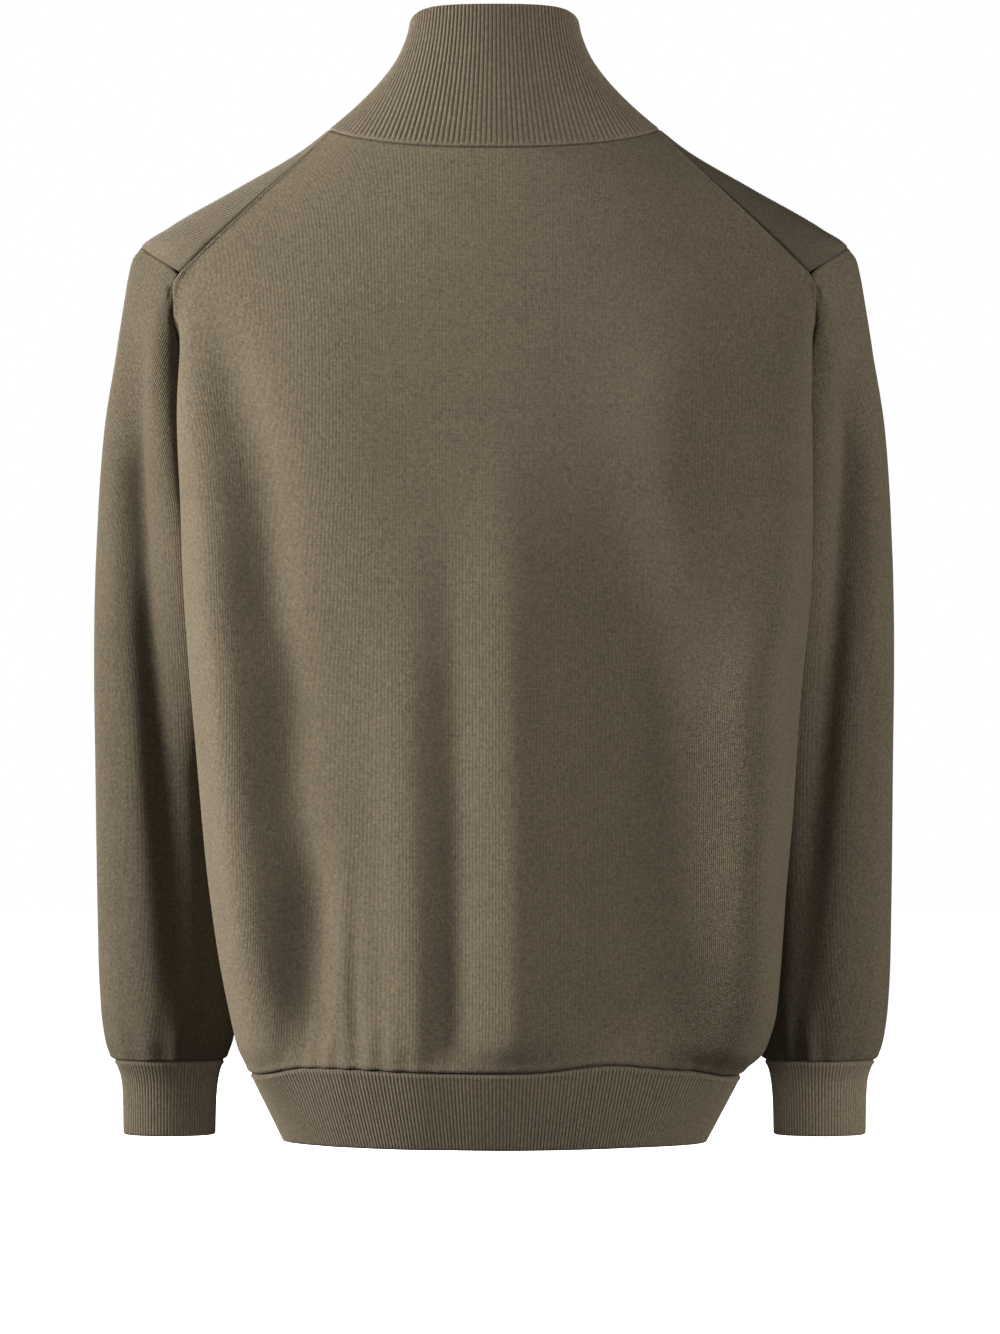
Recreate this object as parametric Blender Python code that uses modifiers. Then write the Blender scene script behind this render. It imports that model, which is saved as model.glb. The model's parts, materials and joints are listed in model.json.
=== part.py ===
"""A quarter zip sweater in fine knit, filled out as it is worn, with no wearer in it.

Frame: +Z up, the front faces -Y and the wearer's left is +X. The origin is midway between
the two sides of the neck, at shoulder height, where a wearer holds the sweater up.
Sizes below are in millimetres, and the meshes are made in metres.
"""

import math

import bmesh
import bpy
import numpy as np

MM = 0.001
INSIDE_STRAP = (150, 0)  # x and y inside the left strap, sleeve and cuff
INSIDE_SLEEVE = (215, -30)
INSIDE_CUFF = (226, -76)

# Cloth
WALL_KNIT = 2.0
WALL_RIB = 3.0
SEAM_GAP = 0.3  # the least between two pieces
SEAM_TRIM = 0.5  # how far each piece stops short of a seam, so that its flat faces keep that gap
CREASE_TRIM = 0.8  # the same where the walls' inner sides turn towards each other
NECK_TRIM = 1.4  # the same under the collar

# Levels
COLLAR_TOP_Z = 85.0
NECK_RIDGE_Z = 4.0
SHOULDER_TIP_Z = -77.0
SHOULDER_CORNER_Z = -97.0
ARMPIT_Z = -250.0
SLEEVE_FREE_Z = -300.0  # from here down the sleeve is a plain upright tube
HEM_SEAM_Z = -634.0
HEM_BOTTOM_Z = -686.0
CUFF_SEAM_Z = -636.0
CUFF_BOTTOM_Z = -688.0

# Torso: a section at each level. Its back half is an arc from the middle of the back to the
# rim, where it is widest, and its front half runs from the rim to the middle of the front
# and is tucked in under the arm.
TORSO = (
    # z, half_width, rim_y, back_y, front_y, tuck
    (-686, 144, 4, 96, 98, 0),
    (-660, 155, 8, 102, 105, 0),
    (-634, 165.5, 14, 107, 111, 0),
    (-611, 173.5, 18, 109, 113, 4),
    (-560, 184.5, 22, 109, 114, 12),
    (-500, 193, 25, 108, 115, 20),
    (-426, 200, 28, 108, 117, 26),
    (-358, 206, 32, 109, 119, 32),
    (-300, 209.5, 36, 110, 121, 36),
    (-240, 211, 40, 110, 122, 36),
    (-200, 212.5, 44, 109, 120, 34),
    (-150, 214, 46, 105, 114, 28),
    (-115, 216, 44, 100, 106, 14),
    (-97, 233, 20, 96, 99, 4),
    (-77, 241, 0, 90, 91, 0),
    (-64, 224, 0, 85, 85, 0),
    (-37, 177, 0, 73, 70, 0),
    (-10, 131, 0, 57, 55, 0),
    (4, 113, 0, 49, 45, 0),
)
TUCK_REACH = 60.0  # how far in front of the rim the tuck is whole
BACK_ROUNDNESS = 0.95  # 1 is an ellipse, less is boxier
FRONT_ROUNDNESS = 0.80

# Shoulder straps and the neck
STRAP_NECK_X = 111.5
STRAP_NECK_Z = 2.0
STRAP_CORNER_X = 212.0
NECK_DIP_BACK = 15.0
NECK_DIP_FRONT = 64.0
FRONT_DIP_STARTS_Z = -160.0
BACK_DIP_POWER = 2.2  # how flat the dip's middle is
FRONT_DIP_POWER = 0.75
FRONT_SPREAD = 1.3  # above 1 puts more of a front row's points near the strap
FRONT_SEAM_BULGE = 0.25  # how much sooner the strap's front seam comes forward

# Armhole seam on the torso, seen from the side. Turn is 0 at the shoulder tip, 90 behind,
# 180 at the armpit and 270 in front. Its stretch over the shoulder is the strap's end.
CORNER_TURN = 45.0
ARMHOLE = (
    # turn, z, y
    (75, -150, 36),
    (110, -205, 24),
    (145, -238, 6),
    (180, ARMPIT_Z, -14),
    (215, -238, -30),
    (250, -205, -38),
    (285, -150, -40),
)
FRONT_CORNER_Y = -46.0

# Sleeves and cuffs: an ellipse at each level, by its outermost x, its half width, and its
# middle and half depth from front to back.
SLEEVE = (
    # z, outer_x, half_width, middle_y, half_depth
    (-688, 258.4, 32.2, -76, 24.5),
    (-665, 258.7, 32.6, -76, 25),
    (-650, 259.6, 33.7, -76, 27),
    (-643, 261.5, 35.4, -75.5, 30),
    (-636, 264.6, 38.4, -75, 33.5),
    (-628, 268.6, 42.4, -74, 37),
    (-618, 271, 45, -73, 39.5),
    (-600, 273.4, 47, -71, 41),
    (-560, 275, 46.7, -67, 42),
    (-500, 275.3, 46.5, -60, 44),
    (-400, 274.8, 46.5, -48, 47),
    (-300, 272, 46, -34, 51),
    (-275, 270.8, 45.5, -32, 49.5),
    (-250, 269.5, 45, -28, 50),
    (-200, 265.5, 49.5, -14, 58),
    (-150, 259.2, 52, -6, 58),
    (-110, 252.5, 52.5, -2, 56),
    (-97, 250, 52, 0, 54),
    (-85, 247, 50, 0, 52),
    (-77, 241, 45.5, 0, 50),
)

# Collar
COLLAR_TOP_HALF_WIDTH = 58.0
COLLAR_TOP_MIDDLE_Y = 8.0
COLLAR_TOP_BACK = 38.0
COLLAR_TOP_FRONT = 90.0
COLLAR_TOP_DROP = 50.0  # how much lower the top edge is in front
COLLAR_TOP_POWER = 2.2  # how late round the ring its top edge drops
COLLAR_FLARE = 1.5
COLLAR_LEVELS = (0, 0.08, 0.2, 0.4, 0.65, 1)

# Zip, down the middle of the front
SLIT_WIDTH = 7.0
SLIT_END_Z = -207.0
TAPE_INNER_X = 1.2
TAPE_OUTER_X = 9.0
TAPE_CLEARANCE = (1.6, 1.9)  # behind the knit, and behind the collar, which bends away
TAPE_WALL = 0.8
TAPE_PAST_SLIT = 6.0
TAPE_BELOW_TOP = 2.0
TAPE_BEND = (14.0, 10.0)  # where it moves back under the collar: below its seam, and over
TEETH_OUTER_X = 2.3
TEETH_WALL = 2.0
TEETH_END_Z = -199.0
TEETH_PAST_SLIDER = 0.4  # above the slider's middle
STOP_SIZE = (5.0, 2.0, 3.6)
SLIDER_MIDDLE_Z = 23.0
SLIDER_SIZE = (8.4, 1.6, 11.0)
SLIDER_BACK_WALL = 1.4
SLIDER_POST_SIZE = (1.6, 4.4)  # its width and height, above the teeth
BRIDGE_SIZE = (2.4, 4.2, 8.0)
BRIDGE_SLOT = (2.3, 2.6)  # its depth and height
BRIDGE_SILL = 0.4  # from the plate to the slot
JOIN_OVERLAP = 0.2  # what one piece of the slider sinks into the next
PULL_SIZE = (8.0, 1.2, 29.0)
PULL_EYE = (5.2, 5.0)
PULL_PIN = 1.2
PULL_CORNER = 2.6
PULL_EYE_CORNER = 0.8

# How finely each piece is divided
BODY_COLUMNS = 10
BODY_LOW_ROWS = 7
ARMHOLE_ROWS = 7  # from the armpit to a corner, the same on the body and the sleeve
STRAP_ROWS = 7  # along a strap, the same on the body
STRAP_COLUMNS = 6  # across a strap, the same on the sleeve and the collar
SLEEVE_FAN_ROWS = 7
SLEEVE_TUBE_ROWS = 8
CUFF_ROWS = 4
HEM_COLUMNS = 44
HEM_ROWS = 3
ZIP_ROWS = 18
FINE = 160  # points in a curve before it is divided evenly

COLOURS = {
    "knit": (0.115, 0.092, 0.064),
    "rib": (0.100, 0.080, 0.055),
    "tape": (0.060, 0.048, 0.035),
    "metal": (0.260, 0.240, 0.210),
}


def gentle_slopes(levels, values):
    """Slopes at the rows of a column that keep its curve from swinging past them."""
    run = np.diff(levels)
    rise = np.diff(values) / run
    slopes = np.zeros(len(levels))
    slopes[0] = rise[0]
    slopes[-1] = rise[-1]
    for i in range(1, len(levels) - 1):
        if rise[i - 1] * rise[i] > 0:
            before = 2 * run[i] + run[i - 1]
            after = run[i] + 2 * run[i - 1]
            slopes[i] = (before + after) / (before / rise[i - 1] + after / rise[i])
    return slopes


class Sections:
    """A table of sections, read smoothly between its rows."""

    def __init__(self, rows):
        table = np.array(rows, float)
        self.levels = table[:, 0]
        self.values = table[:, 1:].T
        self.slopes = [gentle_slopes(self.levels, column) for column in self.values]

    def at(self, level):
        level = np.clip(np.asarray(level, float), self.levels[0], self.levels[-1])
        row = np.clip(np.searchsorted(self.levels, level) - 1, 0, len(self.levels) - 2)
        run = self.levels[row + 1] - self.levels[row]
        t = (level - self.levels[row]) / run
        found = []
        for value, slope in zip(self.values, self.slopes):
            held = (1 + 2 * t) * (1 - t) ** 2 * value[row] + t * t * (3 - 2 * t) * value[row + 1]
            turned = t * (1 - t) ** 2 * slope[row] + t * t * (t - 1) * slope[row + 1]
            found.append(held + run * turned)
        return found


torso = Sections(TORSO)
sleeve = Sections(SLEEVE)


def smooth_step(t):
    t = np.clip(t, 0, 1)
    return t * t * (3 - 2 * t)


def torso_point(angle, z):
    """Points on the torso. Angle is 0 at the middle of the back and 180 at the front's."""
    half_width, rim_y, back_y, front_y, tuck = torso.at(z)
    sideways = np.abs(np.sin(np.radians(angle)))
    along = np.cos(np.radians(angle))
    back = rim_y + (back_y - rim_y) * np.abs(along) ** BACK_ROUNDNESS
    front = rim_y - (front_y + rim_y) * np.abs(along) ** FRONT_ROUNDNESS
    front_width = half_width - tuck * smooth_step((rim_y - front) / TUCK_REACH)
    x_back = half_width * sideways**BACK_ROUNDNESS
    x_front = front_width * sideways**FRONT_ROUNDNESS
    y = np.where(along >= 0, back, front)
    x = np.where(along >= 0, x_back, x_front)
    return np.stack([x, y, np.broadcast_to(z, x.shape)], axis=-1)


def angle_at_y(y, z):
    """The angle at which the torso's left side is this far forward."""
    _, rim_y, back_y, front_y, _ = [float(value) for value in torso.at(z)]
    if y >= rim_y:
        return math.degrees(math.acos(((y - rim_y) / (back_y - rim_y)) ** (1 / BACK_ROUNDNESS)))
    share = ((rim_y - y) / (front_y + rim_y)) ** (1 / FRONT_ROUNDNESS)
    return 180 - math.degrees(math.acos(share))


def angle_at_x(x, z):
    """The angle behind the shoulder at which the torso's left side is this wide."""
    half_width = float(torso.at(z)[0])
    return math.degrees(math.asin((x / half_width) ** (1 / BACK_ROUNDNESS)))


def strap_edge(share, front):
    """A point on a strap's long seam, as (angle, z). Share is 0 at the neck, 1 at the sleeve."""
    z = STRAP_NECK_Z + (SHOULDER_CORNER_Z - STRAP_NECK_Z) * share
    if not front:
        return angle_at_x(STRAP_NECK_X + (STRAP_CORNER_X - STRAP_NECK_X) * share, z), z
    neck_y = torso_point(180 - angle_at_x(STRAP_NECK_X, STRAP_NECK_Z), STRAP_NECK_Z)[1]
    bulge = (1 - FRONT_SEAM_BULGE * share * share) / (1 - FRONT_SEAM_BULGE)
    reach = math.sin(math.radians(90 * share)) * bulge
    return angle_at_y(neck_y + (FRONT_CORNER_Y - neck_y) * reach, z), z


def strap_point(share, across):
    """A point on the left strap. Across is 1 at its back seam and -1 at its front seam."""
    angle, edge_z = strap_edge(share, across < 0)
    ridge_z = NECK_RIDGE_Z + (SHOULDER_TIP_Z - NECK_RIDGE_Z) * share
    z = ridge_z + (edge_z - ridge_z) * across * across
    return torso_point(90 + (angle - 90) * abs(across), z)


def armhole_sections():
    back_corner = strap_point(1, 1)
    front_corner = strap_point(1, -1)
    rows = [(CORNER_TURN, back_corner[2], back_corner[1])]
    rows += ARMHOLE
    rows += [(360 - CORNER_TURN, front_corner[2], front_corner[1])]
    return Sections(rows)


armhole = armhole_sections()


def armhole_edge(turn):
    """A point on the armhole seam below the shoulder, as (angle, z) on the torso."""
    z, y = [float(value) for value in armhole.at(turn)]
    return angle_at_y(y, z), z


def armhole_point(turn):
    if turn <= CORNER_TURN:
        return strap_point(1, turn / CORNER_TURN)
    if turn >= 360 - CORNER_TURN:
        return strap_point(1, (turn - 360) / CORNER_TURN)
    return torso_point(*armhole_edge(turn))


def tube_point(turn, z):
    outer_x, half_width, middle_y, half_depth = sleeve.at(z)
    x = outer_x - half_width + half_width * math.cos(math.radians(turn))
    y = middle_y + half_depth * math.sin(math.radians(turn))
    return np.array([float(x), float(y), float(z)])


def sleeve_point(turn, share):
    """A point of the sleeve's top, from the armhole (share 0) to where the tube runs free."""
    start = armhole_point(turn)
    z = start[2] + (SLEEVE_FREE_Z - start[2]) * share
    offset = start - tube_point(turn, start[2])
    return tube_point(turn, z) + offset * (1 - share) ** 3


def shares_along(path):
    """How far along the path each of its points is, from 0 to 1."""
    length = np.concatenate([[0], np.cumsum(np.linalg.norm(np.diff(path, axis=0), axis=1))])
    return length / length[-1]


def points_at(path, shares):
    along = shares_along(path)
    return np.stack([np.interp(shares, along, path[:, i]) for i in range(3)], axis=-1)


def divided(path, count):
    """The path divided evenly into count points."""
    return points_at(path, np.linspace(0, 1, count))


def with_front_slit(path):
    """The path up to the zip's slit, ending on the slit's edge."""
    count = np.nonzero(path[:, 0] > SLIT_WIDTH / 2)[0][-1] + 1
    kept, last = path[:count], path[count]
    share = (kept[-1][0] - SLIT_WIDTH / 2) / (kept[-1][0] - last[0])
    return np.vstack([kept, kept[-1] + (last - kept[-1]) * share])


def back_row(angle, z, dip):
    """Half of a row of the back, from its middle to its left edge."""
    angles = np.linspace(0, angle, FINE)
    spread = np.sin(np.radians(angles)) / math.sin(math.radians(angle))
    levels = z - dip * (1 - np.clip(spread, 0, 1) ** BACK_DIP_POWER)
    return torso_point(angles, levels)


def front_row(angle, z, dip):
    """Half of a row of the front, from its left edge to the slit."""
    angles = 180 - (180 - angle) * np.linspace(1, 0, FINE) ** FRONT_SPREAD
    spread = np.sin(np.radians(angles)) / math.sin(math.radians(angle))
    levels = z - dip * (1 - np.clip(spread, 0, 1) ** 2) ** FRONT_DIP_POWER
    return with_front_slit(torso_point(angles, levels))


def side_edge(z):
    """The side seam, as (angle, z), from the hem up to the armpit."""
    armpit_y = float(armhole.at(180)[1])
    up = (z - HEM_SEAM_Z) / (ARMPIT_Z - HEM_SEAM_Z)
    return angle_at_y(armpit_y * up, z), z


def panel_edges(front):
    """The left edge of a body panel from the hem to the neck, as (angle, z) a row."""
    edges = [side_edge(z) for z in np.linspace(HEM_SEAM_Z, ARMPIT_Z, BODY_LOW_ROWS)]
    corner = 360 - CORNER_TURN if front else CORNER_TURN
    for turn in np.linspace(180, corner, ARMHOLE_ROWS + 1)[1:]:
        edges.append(armhole_edge(turn))
    for share in np.linspace(1, 0, STRAP_ROWS + 1)[1:]:
        edges.append(strap_edge(share, front))
    return edges


def back_dip(z):
    rise = (z - SHOULDER_CORNER_Z) / (STRAP_NECK_Z - SHOULDER_CORNER_Z)
    return NECK_DIP_BACK * smooth_step(rise)


def front_dip(z):
    rise = (z - FRONT_DIP_STARTS_Z) / (STRAP_NECK_Z - FRONT_DIP_STARTS_Z)
    return NECK_DIP_FRONT * smooth_step(rise)


def neckline():
    """Half of the neckline, from the middle of the back over the left strap to the slit."""
    back_angle, z = strap_edge(0, False)
    front_angle, _ = strap_edge(0, True)
    over = [strap_point(0, across) for across in np.linspace(1, -1, STRAP_COLUMNS + 1)]
    back = divided(back_row(back_angle, z, NECK_DIP_BACK), BODY_COLUMNS)
    front = divided(front_row(front_angle, z, NECK_DIP_FRONT), BODY_COLUMNS)
    return np.vstack([back[:-1], over[:-1], front])


def collar_top():
    """Half of the collar's top edge, from the middle of the back to the slit."""
    angles = np.linspace(0, 180, FINE)
    sideways = np.sin(np.radians(angles))
    along = np.cos(np.radians(angles))
    reach = np.where(along >= 0, COLLAR_TOP_BACK, COLLAR_TOP_FRONT)
    x = COLLAR_TOP_HALF_WIDTH * sideways**BACK_ROUNDNESS
    y = COLLAR_TOP_MIDDLE_Y + reach * np.sign(along) * np.abs(along) ** BACK_ROUNDNESS
    z = COLLAR_TOP_Z - COLLAR_TOP_DROP * ((1 - along) / 2) ** COLLAR_TOP_POWER
    return with_front_slit(np.stack([x, y, z], axis=-1))


def collar_row(share):
    """Half of a ring of the collar. Share is 0 at the neckline and 1 at the top."""
    base = neckline()
    top = points_at(collar_top(), shares_along(base))
    ring = top + (base - top) * (1 - share) ** COLLAR_FLARE
    ring[:, 2] = base[:, 2] + (top[:, 2] - base[:, 2]) * share
    return ring


def zip_path(low, high, count):
    """Points down the middle of the front's outer side, from high to low, with the
    direction that each point's surface faces."""
    base = neckline()[-1]
    top = collar_top()[-1]
    levels = np.linspace(high, low, count)
    front = torso.at(levels)[3]
    share = np.clip((levels - base[2]) / (top[2] - base[2]), 0, 1)
    collar = top[1] + (base[1] - top[1]) * (1 - share) ** COLLAR_FLARE
    y = np.where(levels < base[2], -front, collar)
    points = np.stack([np.zeros(count), y, levels], axis=-1)
    along = np.gradient(points, axis=0)
    facing = np.stack([np.zeros(count), along[:, 2], -along[:, 1]], axis=-1)
    return points, facing / np.linalg.norm(facing, axis=1)[:, None]


def tape_depth(z):
    """How far the tape's front lies behind the cloth's outer side."""
    knit = WALL_KNIT + TAPE_CLEARANCE[0]
    rib = WALL_RIB + TAPE_CLEARANCE[1]
    return knit + (rib - knit) * smooth_step((z - neckline()[-1][2] + TAPE_BEND[0]) / TAPE_BEND[1])


def teeth_depth(z):
    return tape_depth(z) - 2 * SEAM_GAP - TEETH_WALL


def mirrored_halves(row):
    """A row from the right to the left, from its left half that starts in the middle."""
    return np.vstack([row[::-1] * (-1, 1, 1), row[1:]])


def trimmed(grid, first=0.0, last=0.0, start=0.0, end=0.0):
    """The grid with its first and last rows, and its rows' ends, drawn in by these widths."""
    grid = np.array(grid, float)
    for view, near, width in (
        (grid, (0, 1), first),
        (grid, (-1, -2), last),
        (grid.swapaxes(0, 1), (0, 1), start),
        (grid.swapaxes(0, 1), (-1, -2), end),
    ):
        edge = view[near[0]]
        inward = view[near[1]] - edge
        length = np.linalg.norm(inward, axis=1)[:, None]
        view[near[0]] = edge + inward * width / np.maximum(length, 1e-6)
    return grid


def new_object(name, mesh, material, parts):
    obj = bpy.data.objects.new(name, mesh)
    parts.objects.link(obj)
    mesh.materials.append(material)
    return obj


def shell(name, grid, wall, material, parts, closed=False, cut=None, axis=(0, 0)):
    """A wall of cloth inwards from a grid of points on its outer side. Closed joins each
    row's ends, and cut(row, column) leaves a face out. The axis is inside the piece."""
    rows, columns = grid.shape[:2]
    bm = bmesh.new()
    verts = [[bm.verts.new(point * MM) for point in row] for row in grid]
    for r in range(rows - 1):
        for c in range(columns if closed else columns - 1):
            if cut and cut(r, c):
                continue
            d = (c + 1) % columns
            bm.faces.new((verts[r][c], verts[r][d], verts[r + 1][d], verts[r + 1][c]))
    bm.normal_update()
    outward = 0.0
    for face in bm.faces:
        middle = face.calc_center_median()
        outward += (middle.x - axis[0] * MM) * face.normal.x * face.calc_area()
        outward += (middle.y - axis[1] * MM) * face.normal.y * face.calc_area()
    if outward < 0:
        bmesh.ops.reverse_faces(bm, faces=bm.faces)
    mesh = bpy.data.meshes.new(name)
    bm.to_mesh(mesh)
    bm.free()
    mesh.shade_smooth()
    obj = new_object(name, mesh, material, parts)
    solidify = obj.modifiers.new("wall", "SOLIDIFY")
    solidify.thickness = wall * MM
    solidify.offset = -1
    solidify.use_even_offset = True
    return obj


def left_and_right(name, grid, wall, material, parts, **how):
    """A piece on the wearer's left and its mirror image on the right."""
    axis = how.pop("axis", (0, 0))
    shell(name + "_left", grid, wall, material, parts, axis=axis, **how)
    shell(name + "_right", grid * (-1, 1, 1), wall, material, parts, axis=(-axis[0], axis[1]), **how)


def make_body(materials, parts):
    rows = [back_row(angle, z, back_dip(z)) for angle, z in panel_edges(False)]
    grid = [mirrored_halves(divided(row, BODY_COLUMNS)) for row in rows]
    grid = trimmed(grid, SEAM_TRIM, SEAM_TRIM, SEAM_TRIM, SEAM_TRIM)
    shell("back_panel", grid, WALL_KNIT, materials["knit"], parts)

    rows = [front_row(angle, z, front_dip(z)) for angle, z in panel_edges(True)]
    halves = [divided(row, BODY_COLUMNS) for row in rows]
    slit_row = min(range(len(rows)), key=lambda r: abs(halves[r][-1][2] - SLIT_END_Z))
    for r, half in enumerate(halves):
        if r == slit_row:
            half[:, 2] += (SLIT_END_Z - half[-1][2]) * np.linspace(0, 1, BODY_COLUMNS)
    grid = [np.vstack([half, half[::-1] * (-1, 1, 1)]) for half in halves]
    grid = trimmed(grid, SEAM_TRIM, SEAM_TRIM, SEAM_TRIM, SEAM_TRIM)
    middle = BODY_COLUMNS - 1
    shell(
        "front_panel",
        grid,
        WALL_KNIT,
        materials["knit"],
        parts,
        cut=lambda r, c: c == middle and r >= slit_row,
    )


def make_straps(materials, parts):
    grid = np.array(
        [
            [strap_point(share, across) for across in np.linspace(1, -1, STRAP_COLUMNS + 1)]
            for share in np.linspace(0, 1, STRAP_ROWS + 1)
        ]
    )
    grid = trimmed(grid, SEAM_TRIM, CREASE_TRIM, SEAM_TRIM, SEAM_TRIM)
    left_and_right("shoulder_strap", grid, WALL_KNIT, materials["knit"], parts, axis=INSIDE_STRAP)


def make_sleeves(materials, parts):
    over = np.linspace(-CORNER_TURN, CORNER_TURN, STRAP_COLUMNS + 1)
    turns = list(over % 360)
    for start, end in ((CORNER_TURN, 180), (180, 360 - CORNER_TURN)):
        turns += list(np.linspace(start, end, ARMHOLE_ROWS + 1)[1:])
    turns.pop()
    shares = np.linspace(0, 1, SLEEVE_FAN_ROWS + 1) ** 1.3
    levels = np.linspace(SLEEVE_FREE_Z, CUFF_SEAM_Z, SLEEVE_TUBE_ROWS + 1)[1:]
    fan = [[sleeve_point(turn, share) for turn in turns] for share in shares]
    tube = [[tube_point(turn, z) for turn in turns] for z in levels]
    grid = trimmed(np.array(fan + tube), CREASE_TRIM, SEAM_TRIM)
    left_and_right(
        "sleeve", grid, WALL_KNIT, materials["knit"], parts, closed=True, axis=INSIDE_SLEEVE
    )
    levels = np.linspace(CUFF_SEAM_Z, CUFF_BOTTOM_Z, CUFF_ROWS + 1)
    grid = trimmed(np.array([[tube_point(turn, z) for turn in turns] for z in levels]), SEAM_TRIM)
    left_and_right("cuff", grid, WALL_RIB, materials["rib"], parts, closed=True, axis=INSIDE_CUFF)


def make_hem(materials, parts):
    rings = []
    for z in np.linspace(HEM_SEAM_Z, HEM_BOTTOM_Z, HEM_ROWS + 1):
        half = divided(torso_point(np.linspace(0, 180, FINE), z), HEM_COLUMNS // 2 + 1)
        rings.append(mirrored_halves(half)[:-1])
    grid = trimmed(rings, SEAM_TRIM)
    shell("hem_band", grid, WALL_RIB, materials["rib"], parts, closed=True)


def make_collar(materials, parts):
    grid = [mirrored_halves(collar_row(share)) for share in COLLAR_LEVELS]
    grid = trimmed(grid, NECK_TRIM)
    shell("collar", grid, WALL_RIB, materials["rib"], parts)


def zip_strip(name, levels, across, depth, wall, material, parts):
    """A strip beside the zip's middle, set back from the cloth's outer side by depth(z)."""
    points, facing = zip_path(levels[0], levels[1], ZIP_ROWS)
    inward = np.array([depth(z) for z in points[:, 2]])[:, None] * facing
    front = points - inward
    grid = np.array([[row + (x, 0, 0) for x in across] for row in front])
    shell(name, grid, wall, material, parts, axis=(0, 0))


def make_zip_strips(materials, parts):
    top_z = float(collar_top()[-1][2])
    teeth_top = SLIDER_MIDDLE_Z + TEETH_PAST_SLIDER
    for side, sign in (("left", 1), ("right", -1)):
        across = (sign * TAPE_INNER_X, sign * TAPE_OUTER_X)
        levels = (SLIT_END_Z - TAPE_PAST_SLIT, top_z - TAPE_BELOW_TOP)
        zip_strip("zip_tape_" + side, levels, across, tape_depth, TAPE_WALL, materials["tape"], parts)
        across = (sign * SEAM_GAP / 2, sign * TEETH_OUTER_X)
        levels = (TEETH_END_Z, teeth_top)
        zip_strip("zip_teeth_" + side, levels, across, teeth_depth, TEETH_WALL, materials["metal"], parts)


def box(name, size, place, collection):
    bpy.ops.mesh.primitive_cube_add(size=1, location=[value * MM for value in place])
    obj = bpy.context.object
    obj.name = name
    obj.data.name = name
    obj.scale = [value * MM for value in size]
    bpy.ops.object.transform_apply(location=False, rotation=False, scale=True)
    for held in list(obj.users_collection):
        held.objects.unlink(obj)
    collection.objects.link(obj)
    return obj


def cut_or_join(obj, tool, operation):
    tool.hide_render = True
    tool.display_type = "WIRE"
    boolean = obj.modifiers.new(tool.name, "BOOLEAN")
    boolean.operation = operation
    boolean.object = tool


def make_stop(materials, parts):
    points, facing = zip_path(TEETH_END_Z - 4, TEETH_END_Z, 3)
    depth = teeth_depth(TEETH_END_Z) + STOP_SIZE[1] / 2
    place = points[1] - facing[1] * depth
    place[2] -= SEAM_GAP
    stop = box("zip_stop", STOP_SIZE, (0, 0, 0), parts)
    stop.location = [value * MM for value in place]
    stop.rotation_euler = (math.atan2(-facing[1][2], -facing[1][1]), 0, 0)
    stop.data.materials.append(materials["metal"])


def slider_front():
    """The y of the slider's front face, and of the outer side of the cloth under it."""
    points, _ = zip_path(SLIDER_MIDDLE_Z - 5, SLIDER_MIDDLE_Z + 5, 3)
    cloth_y = float(points[1][1])
    return cloth_y - 2 * SEAM_GAP - SLIDER_SIZE[1], cloth_y


def make_slider(materials, parts, cutters):
    front_y, cloth_y = slider_front()
    width, plate, height = SLIDER_SIZE
    z = SLIDER_MIDDLE_Z
    slider = box("zip_slider", SLIDER_SIZE, (0, front_y + plate / 2, z), parts)
    back_y = cloth_y + tape_depth(z) + TAPE_WALL + SEAM_GAP
    back = (width, SLIDER_BACK_WALL, height)
    tool = box("slider_back_plate", back, (0, back_y + SLIDER_BACK_WALL / 2, z), cutters)
    cut_or_join(slider, tool, "UNION")
    reach = back_y - front_y
    post = (SLIDER_POST_SIZE[0], reach, SLIDER_POST_SIZE[1])
    post_z = z + height / 2 - SLIDER_POST_SIZE[1] / 2
    tool = box("slider_post", post, (0, front_y + reach / 2 + JOIN_OVERLAP, post_z), cutters)
    cut_or_join(slider, tool, "UNION")
    bridge_y = front_y + JOIN_OVERLAP - BRIDGE_SIZE[1] / 2
    tool = box("slider_bridge", BRIDGE_SIZE, (0, bridge_y, z), cutters)
    slot = (BRIDGE_SIZE[0] * 2, BRIDGE_SLOT[0], BRIDGE_SLOT[1])
    slot_y = front_y - BRIDGE_SILL - BRIDGE_SLOT[0] / 2
    slot_tool = box("bridge_slot", slot, (0, slot_y, z), cutters)
    cut_or_join(tool, slot_tool, "DIFFERENCE")
    cut_or_join(slider, tool, "UNION")
    slider.data.materials.append(materials["metal"])


def rounded_outline(curve, width, low, high, corner, arc=5):
    """A closed outline with round corners, from low to high about the curve's middle."""
    points = []
    for start, x, y in (
        (0, width / 2 - corner, high - corner),
        (90, corner - width / 2, high - corner),
        (180, corner - width / 2, low + corner),
        (270, width / 2 - corner, low + corner),
    ):
        for step in range(arc):
            turn = math.radians(start + 90 * step / (arc - 1))
            points.append((x + corner * math.cos(turn), y + corner * math.sin(turn)))
    spline = curve.splines.new("POLY")
    spline.points.add(len(points) - 1)
    for point, (x, y) in zip(spline.points, points):
        point.co = (x * MM, y * MM, 0, 1)
    spline.use_cyclic_u = True


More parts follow.
